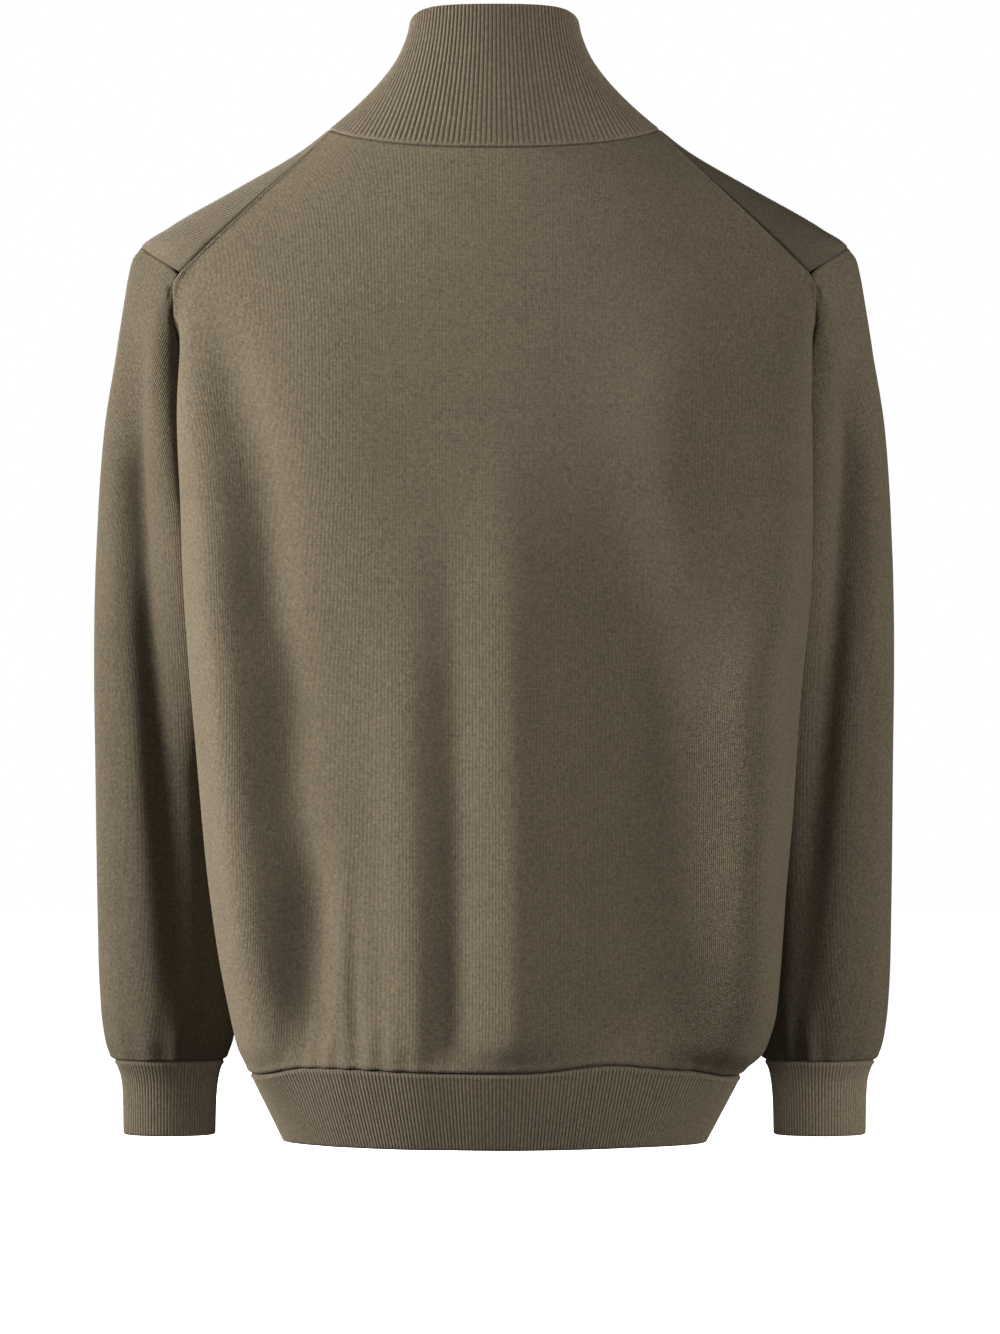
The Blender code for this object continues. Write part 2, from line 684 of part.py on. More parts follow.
def make_pull(materials, parts):
    """The pull tab, hung by the pin at its top end, which is also its hinge."""
    width, wall, height = PULL_SIZE
    curve = bpy.data.curves.new("zip_pull", "CURVE")
    curve.dimensions = "2D"
    curve.fill_mode = "BOTH"
    curve.extrude = wall * MM / 2
    half_pin = PULL_PIN / 2
    rounded_outline(curve, width, half_pin - height, half_pin, PULL_CORNER)
    rounded_outline(curve, PULL_EYE[0], -half_pin - PULL_EYE[1], -half_pin, PULL_EYE_CORNER, 3)
    curve.materials.append(materials["metal"])
    pull = bpy.data.objects.new("zip_pull", curve)
    parts.objects.link(pull)
    front_y, _ = slider_front()
    pin_y = front_y - BRIDGE_SILL - BRIDGE_SLOT[0] / 2
    pull.location = (0, pin_y * MM, SLIDER_MIDDLE_Z * MM)
    pull.rotation_euler = (math.radians(90), 0, 0)
    weld = pull.modifiers.new("caps", "WELD")
    weld.merge_threshold = 0.00001


def make_material(name, colour, roughness, metallic):
    material = bpy.data.materials.new(name)
    material.use_nodes = True
    shader = material.node_tree.nodes["Principled BSDF"]
    shader.inputs["Base Color"].default_value = (*colour, 1)
    shader.inputs["Roughness"].default_value = roughness
    shader.inputs["Metallic"].default_value = metallic
    return material


def new_collection(name):
    collection = bpy.data.collections.new(name)
    bpy.context.scene.collection.children.link(collection)
    return collection


def main():
    for obj in list(bpy.data.objects):
        bpy.data.objects.remove(obj)
    parts = new_collection("quarter_zip_sweater")
    cutters = new_collection("cutters")
    materials = {
        "knit": make_material("knit", COLOURS["knit"], 0.85, 0),
        "rib": make_material("rib", COLOURS["rib"], 0.85, 0),
        "tape": make_material("tape", COLOURS["tape"], 0.8, 0),
        "metal": make_material("metal", COLOURS["metal"], 0.35, 1),
    }
    make_body(materials, parts)
    make_straps(materials, parts)
    make_sleeves(materials, parts)
    make_hem(materials, parts)
    make_collar(materials, parts)
    make_zip_strips(materials, parts)
    make_stop(materials, parts)
    make_slider(materials, parts, cutters)
    make_pull(materials, parts)


main()
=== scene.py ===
import json
import math
import bmesh
import bpy
import mathutils
import numpy as np
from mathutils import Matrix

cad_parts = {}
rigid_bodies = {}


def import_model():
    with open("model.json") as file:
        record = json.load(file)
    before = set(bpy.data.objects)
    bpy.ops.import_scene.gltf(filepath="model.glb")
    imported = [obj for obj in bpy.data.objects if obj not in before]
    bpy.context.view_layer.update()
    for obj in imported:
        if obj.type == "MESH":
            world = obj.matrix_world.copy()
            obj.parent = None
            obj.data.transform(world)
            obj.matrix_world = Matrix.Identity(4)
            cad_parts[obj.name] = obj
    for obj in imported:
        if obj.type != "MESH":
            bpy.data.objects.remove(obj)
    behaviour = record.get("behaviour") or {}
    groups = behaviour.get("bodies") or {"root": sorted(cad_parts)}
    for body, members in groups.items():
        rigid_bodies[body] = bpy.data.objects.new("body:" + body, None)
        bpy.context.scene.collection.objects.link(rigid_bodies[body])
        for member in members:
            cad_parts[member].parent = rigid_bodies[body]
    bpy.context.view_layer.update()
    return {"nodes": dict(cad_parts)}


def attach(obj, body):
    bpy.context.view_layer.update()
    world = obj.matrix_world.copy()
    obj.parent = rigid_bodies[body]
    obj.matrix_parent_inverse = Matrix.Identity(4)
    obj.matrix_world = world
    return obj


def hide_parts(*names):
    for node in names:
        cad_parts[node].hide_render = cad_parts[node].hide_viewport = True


# A quarter zip sweater in fine knit, filled out as worn. Lengths here are in millimetres
# and each mesh is made in metres. The wearer's left is +X and the back faces +Y.
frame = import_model()
mm = 0.001
print("frame loaded:", len(frame["nodes"]), "nodes")

# the camera
cameraLook = {"place": (-0.0038, 4.0, -0.363), "height": 0.911, "sensor": 36.0}

camera = bpy.data.cameras.new("camera")
camera.sensor_width = cameraLook["sensor"]
camera.lens = cameraLook["sensor"] * cameraLook["place"][1] / cameraLook["height"]
cameraObject = bpy.data.objects.new("camera", camera)
cameraObject.location = cameraLook["place"]
cameraObject.rotation_euler = (math.radians(90), 0, math.radians(180))
bpy.context.scene.collection.objects.link(cameraObject)
bpy.context.scene.camera = cameraObject

# the garment's form, level by level
levels = {
    "collarTop": 85.0,
    "neckRidge": 4.0,
    "shoulderTip": -77.0,
    "shoulderCorner": -97.0,
    "armpit": -250.0,
    "sleeveFree": -300.0,
    "hemSeam": -634.0,
    "hemBottom": -686.0,
    "cuffSeam": -636.0,
    "cuffBottom": -688.0,
}
torsoRows = (
    # z, half width, y where it is widest, back y, front y, tuck under the arm
    (-686, 144, 4, 96, 98, 0),
    (-660, 155, 8, 102, 105, 0),
    (-634, 165.5, 14, 107, 111, 0),
    (-611, 173.5, 18, 109, 113, 4),
    (-560, 184.5, 22, 109, 114, 12),
    (-500, 193, 25, 108, 115, 20),
    (-426, 200, 28, 108, 117, 26),
    (-358, 206, 32, 109, 119, 32),
    (-300, 209.5, 36, 110, 121, 36),
    (-240, 211, 40, 110, 122, 36),
    (-200, 212.5, 44, 109, 120, 34),
    (-150, 214, 46, 105, 114, 28),
    (-115, 216, 44, 100, 106, 14),
    (-97, 233, 20, 96, 99, 4),
    (-77, 241, 0, 90, 91, 0),
    (-64, 224, 0, 85, 85, 0),
    (-37, 177, 0, 73, 70, 0),
    (-10, 131, 0, 57, 55, 0),
    (4, 113, 0, 49, 45, 0),
)
armholeRows = (
    # turn round the armhole, z, y
    (75, -150, 36),
    (110, -205, 24),
    (145, -238, 6),
    (180, -250, -14),
    (215, -238, -30),
    (250, -205, -38),
    (285, -150, -40),
)
sleeveRows = (
    # z, outermost x, half width, middle y, half depth
    (-688, 258.4, 32.2, -76, 24.5),
    (-665, 258.7, 32.6, -76, 25),
    (-650, 259.6, 33.7, -76, 27),
    (-643, 261.5, 35.4, -75.5, 30),
    (-636, 264.6, 38.4, -75, 33.5),
    (-628, 268.6, 42.4, -74, 37),
    (-618, 271, 45, -73, 39.5),
    (-600, 273.4, 47, -71, 41),
    (-560, 275, 46.7, -67, 42),
    (-500, 275.3, 46.5, -60, 44),
    (-400, 274.8, 46.5, -48, 47),
    (-300, 272, 46, -34, 51),
    (-275, 270.8, 45.5, -32, 49.5),
    (-250, 269.5, 45, -28, 50),
    (-200, 265.5, 49.5, -14, 58),
    (-150, 259.2, 52, -6, 58),
    (-110, 252.5, 52.5, -2, 56),
    (-97, 250, 52, 0, 54),
    (-85, 247, 50, 0, 52),
    (-77, 241, 45.5, 0, 50),
)
form = {
    "tuckReach": 60.0,
    "backRoundness": 0.95,
    "frontRoundness": 0.80,
    "strapNeck": (111.5, 2.0),  # x and z of a strap's back corner at the neck
    "strapCornerX": 212.0,
    "frontCornerY": -46.0,
    "seamBulge": 0.25,
    "cornerTurn": 45.0,
    "dipBack": 15.0,
    "dipFront": 64.0,
    "dipStartsZ": -160.0,
    "dipBackPower": 2.2,
    "dipFrontPower": 0.75,
    "frontSpread": 1.3,
    "slitWidth": 7.0,
    "slitEndZ": -207.0,
    "fine": 240,  # points in a curve before it is divided
}


def gentleSlopes(levelList, values):
    run = np.diff(levelList)
    rise = np.diff(values) / run
    slopes = np.zeros(len(levelList))
    slopes[0], slopes[-1] = rise[0], rise[-1]
    for i in range(1, len(levelList) - 1):
        if rise[i - 1] * rise[i] > 0:
            before = 2 * run[i] + run[i - 1]
            after = run[i] + 2 * run[i - 1]
            slopes[i] = (before + after) / (before / rise[i - 1] + after / rise[i])
    return slopes


class SmoothTable:
    # rows of numbers, read smoothly between them

    def __init__(self, rows):
        table = np.array(rows, float)
        self.levels = table[:, 0]
        self.values = table[:, 1:].T
        self.slopes = [gentleSlopes(self.levels, column) for column in self.values]

    def at(self, level):
        level = np.clip(np.asarray(level, float), self.levels[0], self.levels[-1])
        row = np.clip(np.searchsorted(self.levels, level) - 1, 0, len(self.levels) - 2)
        run = self.levels[row + 1] - self.levels[row]
        t = (level - self.levels[row]) / run
        found = []
        for value, slope in zip(self.values, self.slopes):
            held = (1 + 2 * t) * (1 - t) ** 2 * value[row] + t * t * (3 - 2 * t) * value[row + 1]
            turned = t * (1 - t) ** 2 * slope[row] + t * t * (t - 1) * slope[row + 1]
            found.append(held + run * turned)
        return found


torsoTable = SmoothTable(torsoRows)
sleeveTable = SmoothTable(sleeveRows)


def smoothStep(t):
    t = np.clip(t, 0, 1)
    return t * t * (3 - 2 * t)


def torsoPoint(angle, z):
    # angle is 0 at the middle of the back and 180 at the middle of the front
    halfWidth, rimY, backY, frontY, tuck = torsoTable.at(z)
    sideways = np.abs(np.sin(np.radians(angle)))
    along = np.cos(np.radians(angle))
    back = rimY + (backY - rimY) * np.abs(along) ** form["backRoundness"]
    front = rimY - (frontY + rimY) * np.abs(along) ** form["frontRoundness"]
    frontWidth = halfWidth - tuck * smoothStep((rimY - front) / form["tuckReach"])
    xBack = halfWidth * sideways ** form["backRoundness"]
    xFront = frontWidth * sideways ** form["frontRoundness"]
    y = np.where(along >= 0, back, front)
    x = np.where(along >= 0, xBack, xFront)
    return np.stack([x, y, np.broadcast_to(z, x.shape)], axis=-1)


def angleAtY(y, z):
    _, rimY, backY, frontY, _ = [float(value) for value in torsoTable.at(z)]
    if y >= rimY:
        share = ((y - rimY) / (backY - rimY)) ** (1 / form["backRoundness"])
        return math.degrees(math.acos(share))
    share = ((rimY - y) / (frontY + rimY)) ** (1 / form["frontRoundness"])
    return 180 - math.degrees(math.acos(share))


def angleAtX(x, z):
    halfWidth = float(torsoTable.at(z)[0])
    return math.degrees(math.asin((x / halfWidth) ** (1 / form["backRoundness"])))


def strapEdge(share, front):
    # a strap's long seam, from the neck (0) to the sleeve (1)
    neckX, neckZ = form["strapNeck"]
    z = neckZ + (levels["shoulderCorner"] - neckZ) * share
    if not front:
        return angleAtX(neckX + (form["strapCornerX"] - neckX) * share, z), z
    neckY = torsoPoint(180 - angleAtX(neckX, neckZ), neckZ)[1]
    bulge = (1 - form["seamBulge"] * share * share) / (1 - form["seamBulge"])
    reach = math.sin(math.radians(90 * share)) * bulge
    return angleAtY(neckY + (form["frontCornerY"] - neckY) * reach, z), z


def strapPoint(share, across):
    angle, edgeZ = strapEdge(share, across < 0)
    ridgeZ = levels["neckRidge"] + (levels["shoulderTip"] - levels["neckRidge"]) * share
    z = ridgeZ + (edgeZ - ridgeZ) * across * across
    return torsoPoint(90 + (angle - 90) * abs(across), z)


backCorner = strapPoint(1, 1)
frontCorner = strapPoint(1, -1)
armholeTable = SmoothTable(
    [(form["cornerTurn"], backCorner[2], backCorner[1])]
    + list(armholeRows)
    + [(360 - form["cornerTurn"], frontCorner[2], frontCorner[1])]
)


def armholeEdge(turn):
    z, y = [float(value) for value in armholeTable.at(turn)]
    return angleAtY(y, z), z


def armholePoint(turn):
    corner = form["cornerTurn"]
    if turn <= corner:
        return strapPoint(1, turn / corner)
    if turn >= 360 - corner:
        return strapPoint(1, (turn - 360) / corner)
    return torsoPoint(*armholeEdge(turn))


def tubePoint(turn, z):
    # turn is 0 on the sleeve's outer side and 90 on its back
    outerX, halfWidth, middleY, halfDepth = sleeveTable.at(z)
    x = outerX - halfWidth + halfWidth * math.cos(math.radians(turn))
    y = middleY + halfDepth * math.sin(math.radians(turn))
    return np.array([float(x), float(y), float(z)])


def sleeveTop(turn, share):
    start = armholePoint(turn)
    z = start[2] + (levels["sleeveFree"] - start[2]) * share
    offset = start - tubePoint(turn, start[2])
    return tubePoint(turn, z) + offset * (1 - share) ** 3


def sharesAlong(path):
    length = np.concatenate([[0], np.cumsum(np.linalg.norm(np.diff(path, axis=0), axis=1))])
    return length / length[-1]


def pointsAt(path, shares):
    along = sharesAlong(path)
    return np.stack([np.interp(shares, along, path[:, i]) for i in range(3)], axis=-1)


def toSlit(path):
    # the path up to the zip's slit
    half = form["slitWidth"] / 2
    count = np.nonzero(path[:, 0] > half)[0][-1] + 1
    kept, last = path[:count], path[count]
    share = (kept[-1][0] - half) / (kept[-1][0] - last[0])
    return np.vstack([kept, kept[-1] + (last - kept[-1]) * share])


def backRow(angle, z, dip):
    angles = np.linspace(0, angle, form["fine"])
    spread = np.sin(np.radians(angles)) / math.sin(math.radians(angle))
    return torsoPoint(angles, z - dip * (1 - np.clip(spread, 0, 1) ** form["dipBackPower"]))


def frontRow(angle, z, dip):
    angles = 180 - (180 - angle) * np.linspace(1, 0, form["fine"]) ** form["frontSpread"]
    spread = np.sin(np.radians(angles)) / math.sin(math.radians(angle))
    drop = dip * (1 - np.clip(spread, 0, 1) ** 2) ** form["dipFrontPower"]
    return toSlit(torsoPoint(angles, z - drop))


def sideEdge(z):
    armpitY = float(armholeTable.at(180)[1])
    up = (z - levels["hemSeam"]) / (levels["armpit"] - levels["hemSeam"])
    return angleAtY(armpitY * up, z), z


def neckDip(z, front):
    top = form["strapNeck"][1]
    low = form["dipStartsZ"] if front else levels["shoulderCorner"]
    dip = form["dipFront"] if front else form["dipBack"]
    return dip * smoothStep((z - low) / (top - low))


def crowded(count, start=0.0, end=0.0):
    # shares from 0 to 1, closer together at the ends by these amounts
    t = np.linspace(0, 1, count)
    both = (start + end) / 2
    lean = (start - end) / 2
    return t - both * np.sin(2 * np.pi * t) / (2 * np.pi) - lean * np.sin(np.pi * t) / np.pi


def neckCurve():
    # half of the neckline, from the middle of the back over the left strap to the slit
    backAngle, z = strapEdge(0, False)
    frontAngle, _ = strapEdge(0, True)
    over = np.array([strapPoint(0, across) for across in np.linspace(1, -1, 41)])
    back = backRow(backAngle, z, form["dipBack"])
    front = frontRow(frontAngle, z, form["dipFront"])
    return np.vstack([back[:-1], over[:-1], front])


# cloth meshes
def gridSpans(grid, closed):
    across = np.roll(grid, -1, 1) - np.roll(grid, 1, 1) if closed else np.gradient(grid, axis=1)
    down = np.gradient(grid, axis=0)
    return across, down


def gridNormals(grid, closed, inside):
    # the direction that each point's surface faces, away from a line up through "inside"
    across, down = gridSpans(grid, closed)
    facing = np.cross(across, down)
    facing /= np.maximum(np.linalg.norm(facing, axis=2), 1e-9)[:, :, None]
    away = grid[:, :, :2] - np.array(inside)
    flip = (facing[:, :, :2] * away).sum() < 0
    return (-facing if flip else facing), flip


def edgeDistances(grid):
    # how far each point is from its row's two ends and its column's two ends
    rowSteps = np.linalg.norm(np.diff(grid, axis=1), axis=2)
    columnSteps = np.linalg.norm(np.diff(grid, axis=0), axis=2)
    fromStart = np.concatenate([np.zeros((len(grid), 1)), np.cumsum(rowSteps, 1)], 1)
    fromFirst = np.concatenate([np.zeros((1, grid.shape[1])), np.cumsum(columnSteps, 0)], 0)
    toEnd = fromStart[:, -1:] - fromStart
    toLast = fromFirst[-1:, :] - fromFirst
    return fromStart, toEnd, fromFirst, toLast


def seamDistances(grid, edge):
    # how far each point is from the nearest point of an edge that closes on itself
    ring = np.vstack([edge, edge[:1]])
    dense = np.vstack([ring[:-1] + (ring[1:] - ring[:-1]) * share for share in np.linspace(0, 0.9, 10)])
    return np.array([np.linalg.norm(row[:, None, :] - dense[None, :, :], axis=2).min(1) for row in grid])


def seamRoll(distance, rim, reach, width, groove, grooveWidth=0.9):
    # a soft rolled rim beside a seam, and the seam's own groove
    roll = rim * np.exp(-(((distance - reach) / width) ** 2))
    return roll - groove * np.exp(-((distance / grooveWidth) ** 2))


def roundedEdge(distance, wall):
    # how far each side draws in so that an edge folded over is round
    half = wall / 2
    t = np.clip(1 - distance / half, 0, 1)
    return half * (1 - np.sqrt(1 - t * t))


def foldRelief(place, z, folds):
    # soft troughs and ridges, each along its own path down the cloth
    relief = np.zeros(np.shape(z))
    for fold in folds:
        path = np.array(fold["path"], float)
        path = path[np.argsort(path[:, 0])]
        table = SmoothTable(path)
        middle, height = table.at(z)
        low, high = path[0, 0], path[-1, 0]
        fade = smoothStep((z - low + 20) / 20) * smoothStep((high + 20 - z) / 20)
        away = (place - middle) / fold["width"]
        relief += height * fade * np.exp(-(away**2))
    return relief


def clothPiece(name, outer, inner, flip, closed, maps, shades, material, skip=None):
    # a closed shell of cloth from the grids of its two sides
    rows, columns = outer.shape[:2]
    last = columns if closed else columns - 1
    r, c = np.meshgrid(np.arange(rows - 1), np.arange(last), indexing="ij")
    if skip is not None:
        keep = ~skip(r, c)
        r, c = r[keep], c[keep]
    r, c = r.ravel(), c.ravel()
    d = (c + 1) % columns
    quads = np.stack([r * columns + c, r * columns + d, (r + 1) * columns + d, (r + 1) * columns + c], 1)
    u, v = maps
    uNext = np.where(c + 1 == columns, u[r, c] + (u[r, c] - u[r, c - 1]), u[r, d])
    uBelow = np.where(c + 1 == columns, u[r + 1, c] + (u[r + 1, c] - u[r + 1, c - 1]), u[r + 1, d])
    corners = np.stack(
        [
            np.stack([u[r, c], v[r, c]], 1),
            np.stack([uNext, v[r, d]], 1),
            np.stack([uBelow, v[r + 1, d]], 1),
            np.stack([u[r + 1, c], v[r + 1, c]], 1),
        ],
        1,
    )
    if flip:
        quads = quads[:, ::-1]
        corners = corners[:, ::-1]
    count = rows * columns
    starts = quads.ravel()
    ends = np.roll(quads, -1, 1).ravel()
    cornerEnds = np.roll(corners, -1, 1).reshape(-1, 2)
    cornerStarts = corners.reshape(-1, 2)
    key = starts * count + ends
    back = ends * count + starts
    edge = ~np.isin(key, back)
    a, b = starts[edge], ends[edge]
    rims = np.stack([b, a, a + count, b + count], 1)
    ca, cb = cornerStarts[edge], cornerEnds[edge]
    rimCorners = np.stack([cb, ca, ca, cb], 1)
    faces = np.concatenate([quads, quads[:, ::-1] + count, rims])
    allCorners = np.concatenate([corners, corners[:, ::-1], rimCorners])
    points = np.concatenate([outer.reshape(-1, 3), inner.reshape(-1, 3)]) * mm
    used = np.zeros(2 * count, bool)
    used[faces.ravel()] = True
    newIndex = np.cumsum(used) - 1
    points, faces = points[used], newIndex[faces]
    mesh = bpy.data.meshes.new(name)
    mesh.vertices.add(len(points))
    mesh.vertices.foreach_set("co", points.ravel())
    mesh.loops.add(faces.size)
    mesh.loops.foreach_set("vertex_index", faces.ravel().astype(np.int32))
    mesh.polygons.add(len(faces))
    mesh.polygons.foreach_set("loop_start", np.arange(0, faces.size, 4, dtype=np.int32))
    mesh.update(calc_edges=True)
    layer = mesh.uv_layers.new(name="clothMap")
    layer.uv.foreach_set("vector", allCorners.reshape(-1, 2).astype(np.float32).ravel())
    for label, values in shades.items():
        flat = np.concatenate([values.ravel(), values.ravel()])[used]
        attribute = mesh.attributes.new(label, "FLOAT", "POINT")
        attribute.data.foreach_set("value", flat.astype(np.float32))
    mesh.validate()
    mesh.shade_smooth()
    mesh.materials.append(material)
    piece = bpy.data.objects.new(name, mesh)
    bpy.context.scene.collection.objects.link(piece)
    print("  ", name, len(faces) * 2, "triangles")
    return piece


def clothArea(grid, closed=False):
    across, down = gridSpans(grid, closed)
    if closed:
        across = across / 2
    return float(np.linalg.norm(np.cross(across, down), axis=2).sum()) * mm * mm


def settle(piece, node):
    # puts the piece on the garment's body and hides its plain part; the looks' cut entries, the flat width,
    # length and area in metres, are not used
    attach(piece, "garment")
    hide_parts(node)


def printSize(grid, closed, down, across=None):
    print("   area", round(clothArea(grid, closed), 4), "long", round(float(down.max()) * mm, 3))
    if across is not None:
        print("   wide", round(float(across.max()) * mm, 3))


def mirrored(half):
    return np.concatenate([half[:, ::-1] * (-1, 1, 1), half[:, 1:]], 1)


# materials
def newMaterial(name, colour, roughness, sheen=0.0, metallic=0.0):
    material = bpy.data.materials.new(name)
    material.use_nodes = True
    shader = material.node_tree.nodes["Principled BSDF"]
    shader.inputs["Base Color"].default_value = (*colour, 1)
    shader.inputs["Roughness"].default_value = roughness
    shader.inputs["Metallic"].default_value = metallic
    shader.inputs["Specular IOR Level"].default_value = 0.3
    shader.inputs["Sheen Weight"].default_value = sheen
    shader.inputs["Sheen Roughness"].default_value = 0.45
    return material, material.node_tree, shader


def mathNode(tree, operation, a, b=None, c=None):
    node = tree.nodes.new("ShaderNodeMath")
    node.operation = operation
    for socket, value in zip(node.inputs, (a, b, c)):
        if value is None:
            continue
        if isinstance(value, (int, float)):
            socket.default_value = value
        else:
            tree.links.new(value, socket)
    return node.outputs[0]


def mixColour(tree, factor, a, b, blend="MIX"):
    node = tree.nodes.new("ShaderNodeMix")
    node.data_type = "RGBA"
    node.blend_type = blend
    for socket, value in ((node.inputs[0], factor), (node.inputs[6], a), (node.inputs[7], b)):
        if isinstance(value, (int, float)):
            socket.default_value = value
        elif isinstance(value, tuple):
            socket.default_value = (*value, 1)
        else:
            tree.links.new(value, socket)
    return node.outputs[2]


def noiseAt(tree, vector, scale, detail=2.0):
    node = tree.nodes.new("ShaderNodeTexNoise")
    node.inputs["Scale"].default_value = scale
    node.inputs["Detail"].default_value = detail
    tree.links.new(vector, node.inputs["Vector"])
    return node.outputs["Fac"]


def attributeAt(tree, label):
    node = tree.nodes.new("ShaderNodeAttribute")
    node.attribute_name = label
    return node.outputs["Fac"]


def objectPlace(tree):
    return tree.nodes.new("ShaderNodeTexCoord").outputs["Object"]


def clothPlace(tree):
    # how far across and how far down the cloth, in millimetres
    uv = tree.nodes.new("ShaderNodeUVMap")
    uv.uv_map = "clothMap"
    split = tree.nodes.new("ShaderNodeSeparateXYZ")
    tree.links.new(uv.outputs[0], split.inputs[0])
    return split.outputs[0], split.outputs[1]


def addBump(tree, shader, height, strength, distance):
    bump = tree.nodes.new("ShaderNodeBump")
    bump.inputs["Strength"].default_value = strength
    bump.inputs["Distance"].default_value = distance
    tree.links.new(height, bump.inputs["Height"])
    tree.links.new(bump.outputs[0], shader.inputs["Normal"])


def scaled(colour, share):
    return tuple(value * share for value in colour)


yarnLook = {
    "pebble": 520.0,  # noise scales of the fibres, the broad clouds and the streaks
    "cloud": 16.0,
    "streak": 60.0,
    "speckle": 1.4,
    "sheenTint": (0.75, 0.68, 0.56, 1),
}
knitLook = {
    "colour": (0.140, 0.1135, 0.0760),
    "wale": 1.9,  # width of a column of stitches
    "course": 1.5,  # height of a row of stitches
    "stitchGapShade": 0.5,  # painted shade between stitches, as a share of the yarn's colour
    "mottle": 0.10,
    # painted shade along the seams, as a share of the yarn's colour
    "seam": 0.30,
    "bump": 0.7,
    "sheen": 0.06,
}
ribLook = {
    "colour": (0.131, 0.1065, 0.0725),
    "wale": 1.3,
    "course": 1.1,
    # painted shade between stitches, as a share of the yarn's colour
    "stitchGapShade": 0.66,
    "mottle": 0.08,
    # painted shade along the seams, as a share of the yarn's colour
    "seam": 0.25,
    # painted shade in the rib grooves, as a share of the yarn's colour
    "groove": 0.34,
    "bump": 0.3,
    "sheen": 0.06,
}


def knitMaterial(name, look, ribbed=False):
    material, tree, shader = newMaterial(name, look["colour"], 0.92, look["sheen"])
    shader.inputs["Sheen Tint"].default_value = yarnLook["sheenTint"]
    shader.inputs["Specular IOR Level"].default_value = 0.2
    across, down = clothPlace(tree)
    place = objectPlace(tree)
    # each stitch is a V: two legs that lean towards the middle of its column
    column = mathNode(tree, "DIVIDE", across, look["wale"])
    within = mathNode(tree, "FRACT", column)
    fromMiddle = mathNode(tree, "ABSOLUTE", mathNode(tree, "SUBTRACT", within, 0.5))
    row = mathNode(tree, "DIVIDE", down, look["course"])
    lean = mathNode(tree, "MULTIPLY_ADD", fromMiddle, 1.1, row)
    legs = mathNode(tree, "SINE", mathNode(tree, "MULTIPLY", lean, 2 * math.pi))
    legs = mathNode(tree, "MULTIPLY_ADD", legs, 0.5, 0.5)
    sides = mathNode(tree, "SINE", mathNode(tree, "MULTIPLY", fromMiddle, 2 * math.pi))
    sides = mathNode(tree, "POWER", mathNode(tree, "MAXIMUM", sides, 0.0), 0.7)
    stitch = mathNode(tree, "MULTIPLY", mathNode(tree, "MULTIPLY_ADD", legs, 0.45, 0.55), sides)
    pebble = noiseAt(tree, place, yarnLook["pebble"], 3.0)
    cloud = noiseAt(tree, place, yarnLook["cloud"], 3.0)
    streak = noiseAt(tree, place, yarnLook["streak"], 2.0)
    colour = look["colour"]
    # the gaps between the stitches are painted darker: painted shade
    shade = mixColour(tree, stitch, scaled(colour, look["stitchGapShade"]), colour)
    uneven = mathNode(tree, "MULTIPLY_ADD", cloud, 1.4 * look["mottle"], 1 - 0.7 * look["mottle"])
    uneven = mathNode(tree, "MULTIPLY_ADD", mathNode(tree, "SUBTRACT", streak, 0.5), look["mottle"], uneven)
    fibres = mathNode(tree, "SUBTRACT", pebble, 0.5)
    grain = mathNode(tree, "MULTIPLY_ADD", fibres, yarnLook["speckle"], uneven)
    tint = tree.nodes.new("ShaderNodeCombineColor")
    for socket in tint.inputs[:3]:
        tree.links.new(grain, socket)
    shade = mixColour(tree, 1.0, shade, tint.outputs[0], "MULTIPLY")
    # the cloth along each seam is painted darker: painted shade in the seam's groove
    shadeAtSeam = mathNode(tree, "MULTIPLY", attributeAt(tree, "seam"), 0.85)
    shade = mixColour(tree, shadeAtSeam, shade, scaled(colour, look["seam"]))
    if ribbed:
        # the rib grooves are painted darker: painted shade
        shadeInGroove = mathNode(tree, "MULTIPLY", attributeAt(tree, "groove"), 0.8)
        shade = mixColour(tree, shadeInGroove, shade, scaled(colour, look["groove"]))
    tree.links.new(shade, shader.inputs["Base Color"])
    height = mathNode(tree, "MULTIPLY_ADD", pebble, 0.7, stitch)
    addBump(tree, shader, height, look["bump"], 0.0008)
    return material


knit = knitMaterial("fineKnit", knitLook)
rib = knitMaterial("ribKnit", ribLook, ribbed=True)
print("materials made")

# back and front panels
bodyLook = {
    "wall": 2.0,
    "backCut": (0.57, 0.66, 0.315),
    "frontCut": (0.52, 0.62, 0.27),
    "halfColumns": 108,
    "lowRows": 88,
    "armholeRows": 36,
    "strapRows": 44,
    "armholeRim": (1.8, 3.6, 2.4, 0.0),  # height, reach, width and groove of the rolled rim
    "strapRim": (1.0, 2.4, 1.4, 0.6),
    "sideRim": (0.3, 2.0, 1.5, 0.9),
    "neckRim": (0.3, 3.0, 2.0, 0.6),
    "hemRim": (0.7, 3.2, 2.4, 1.4),
    "slitRim": (0.5, 1.8, 1.2, 0.6),
}
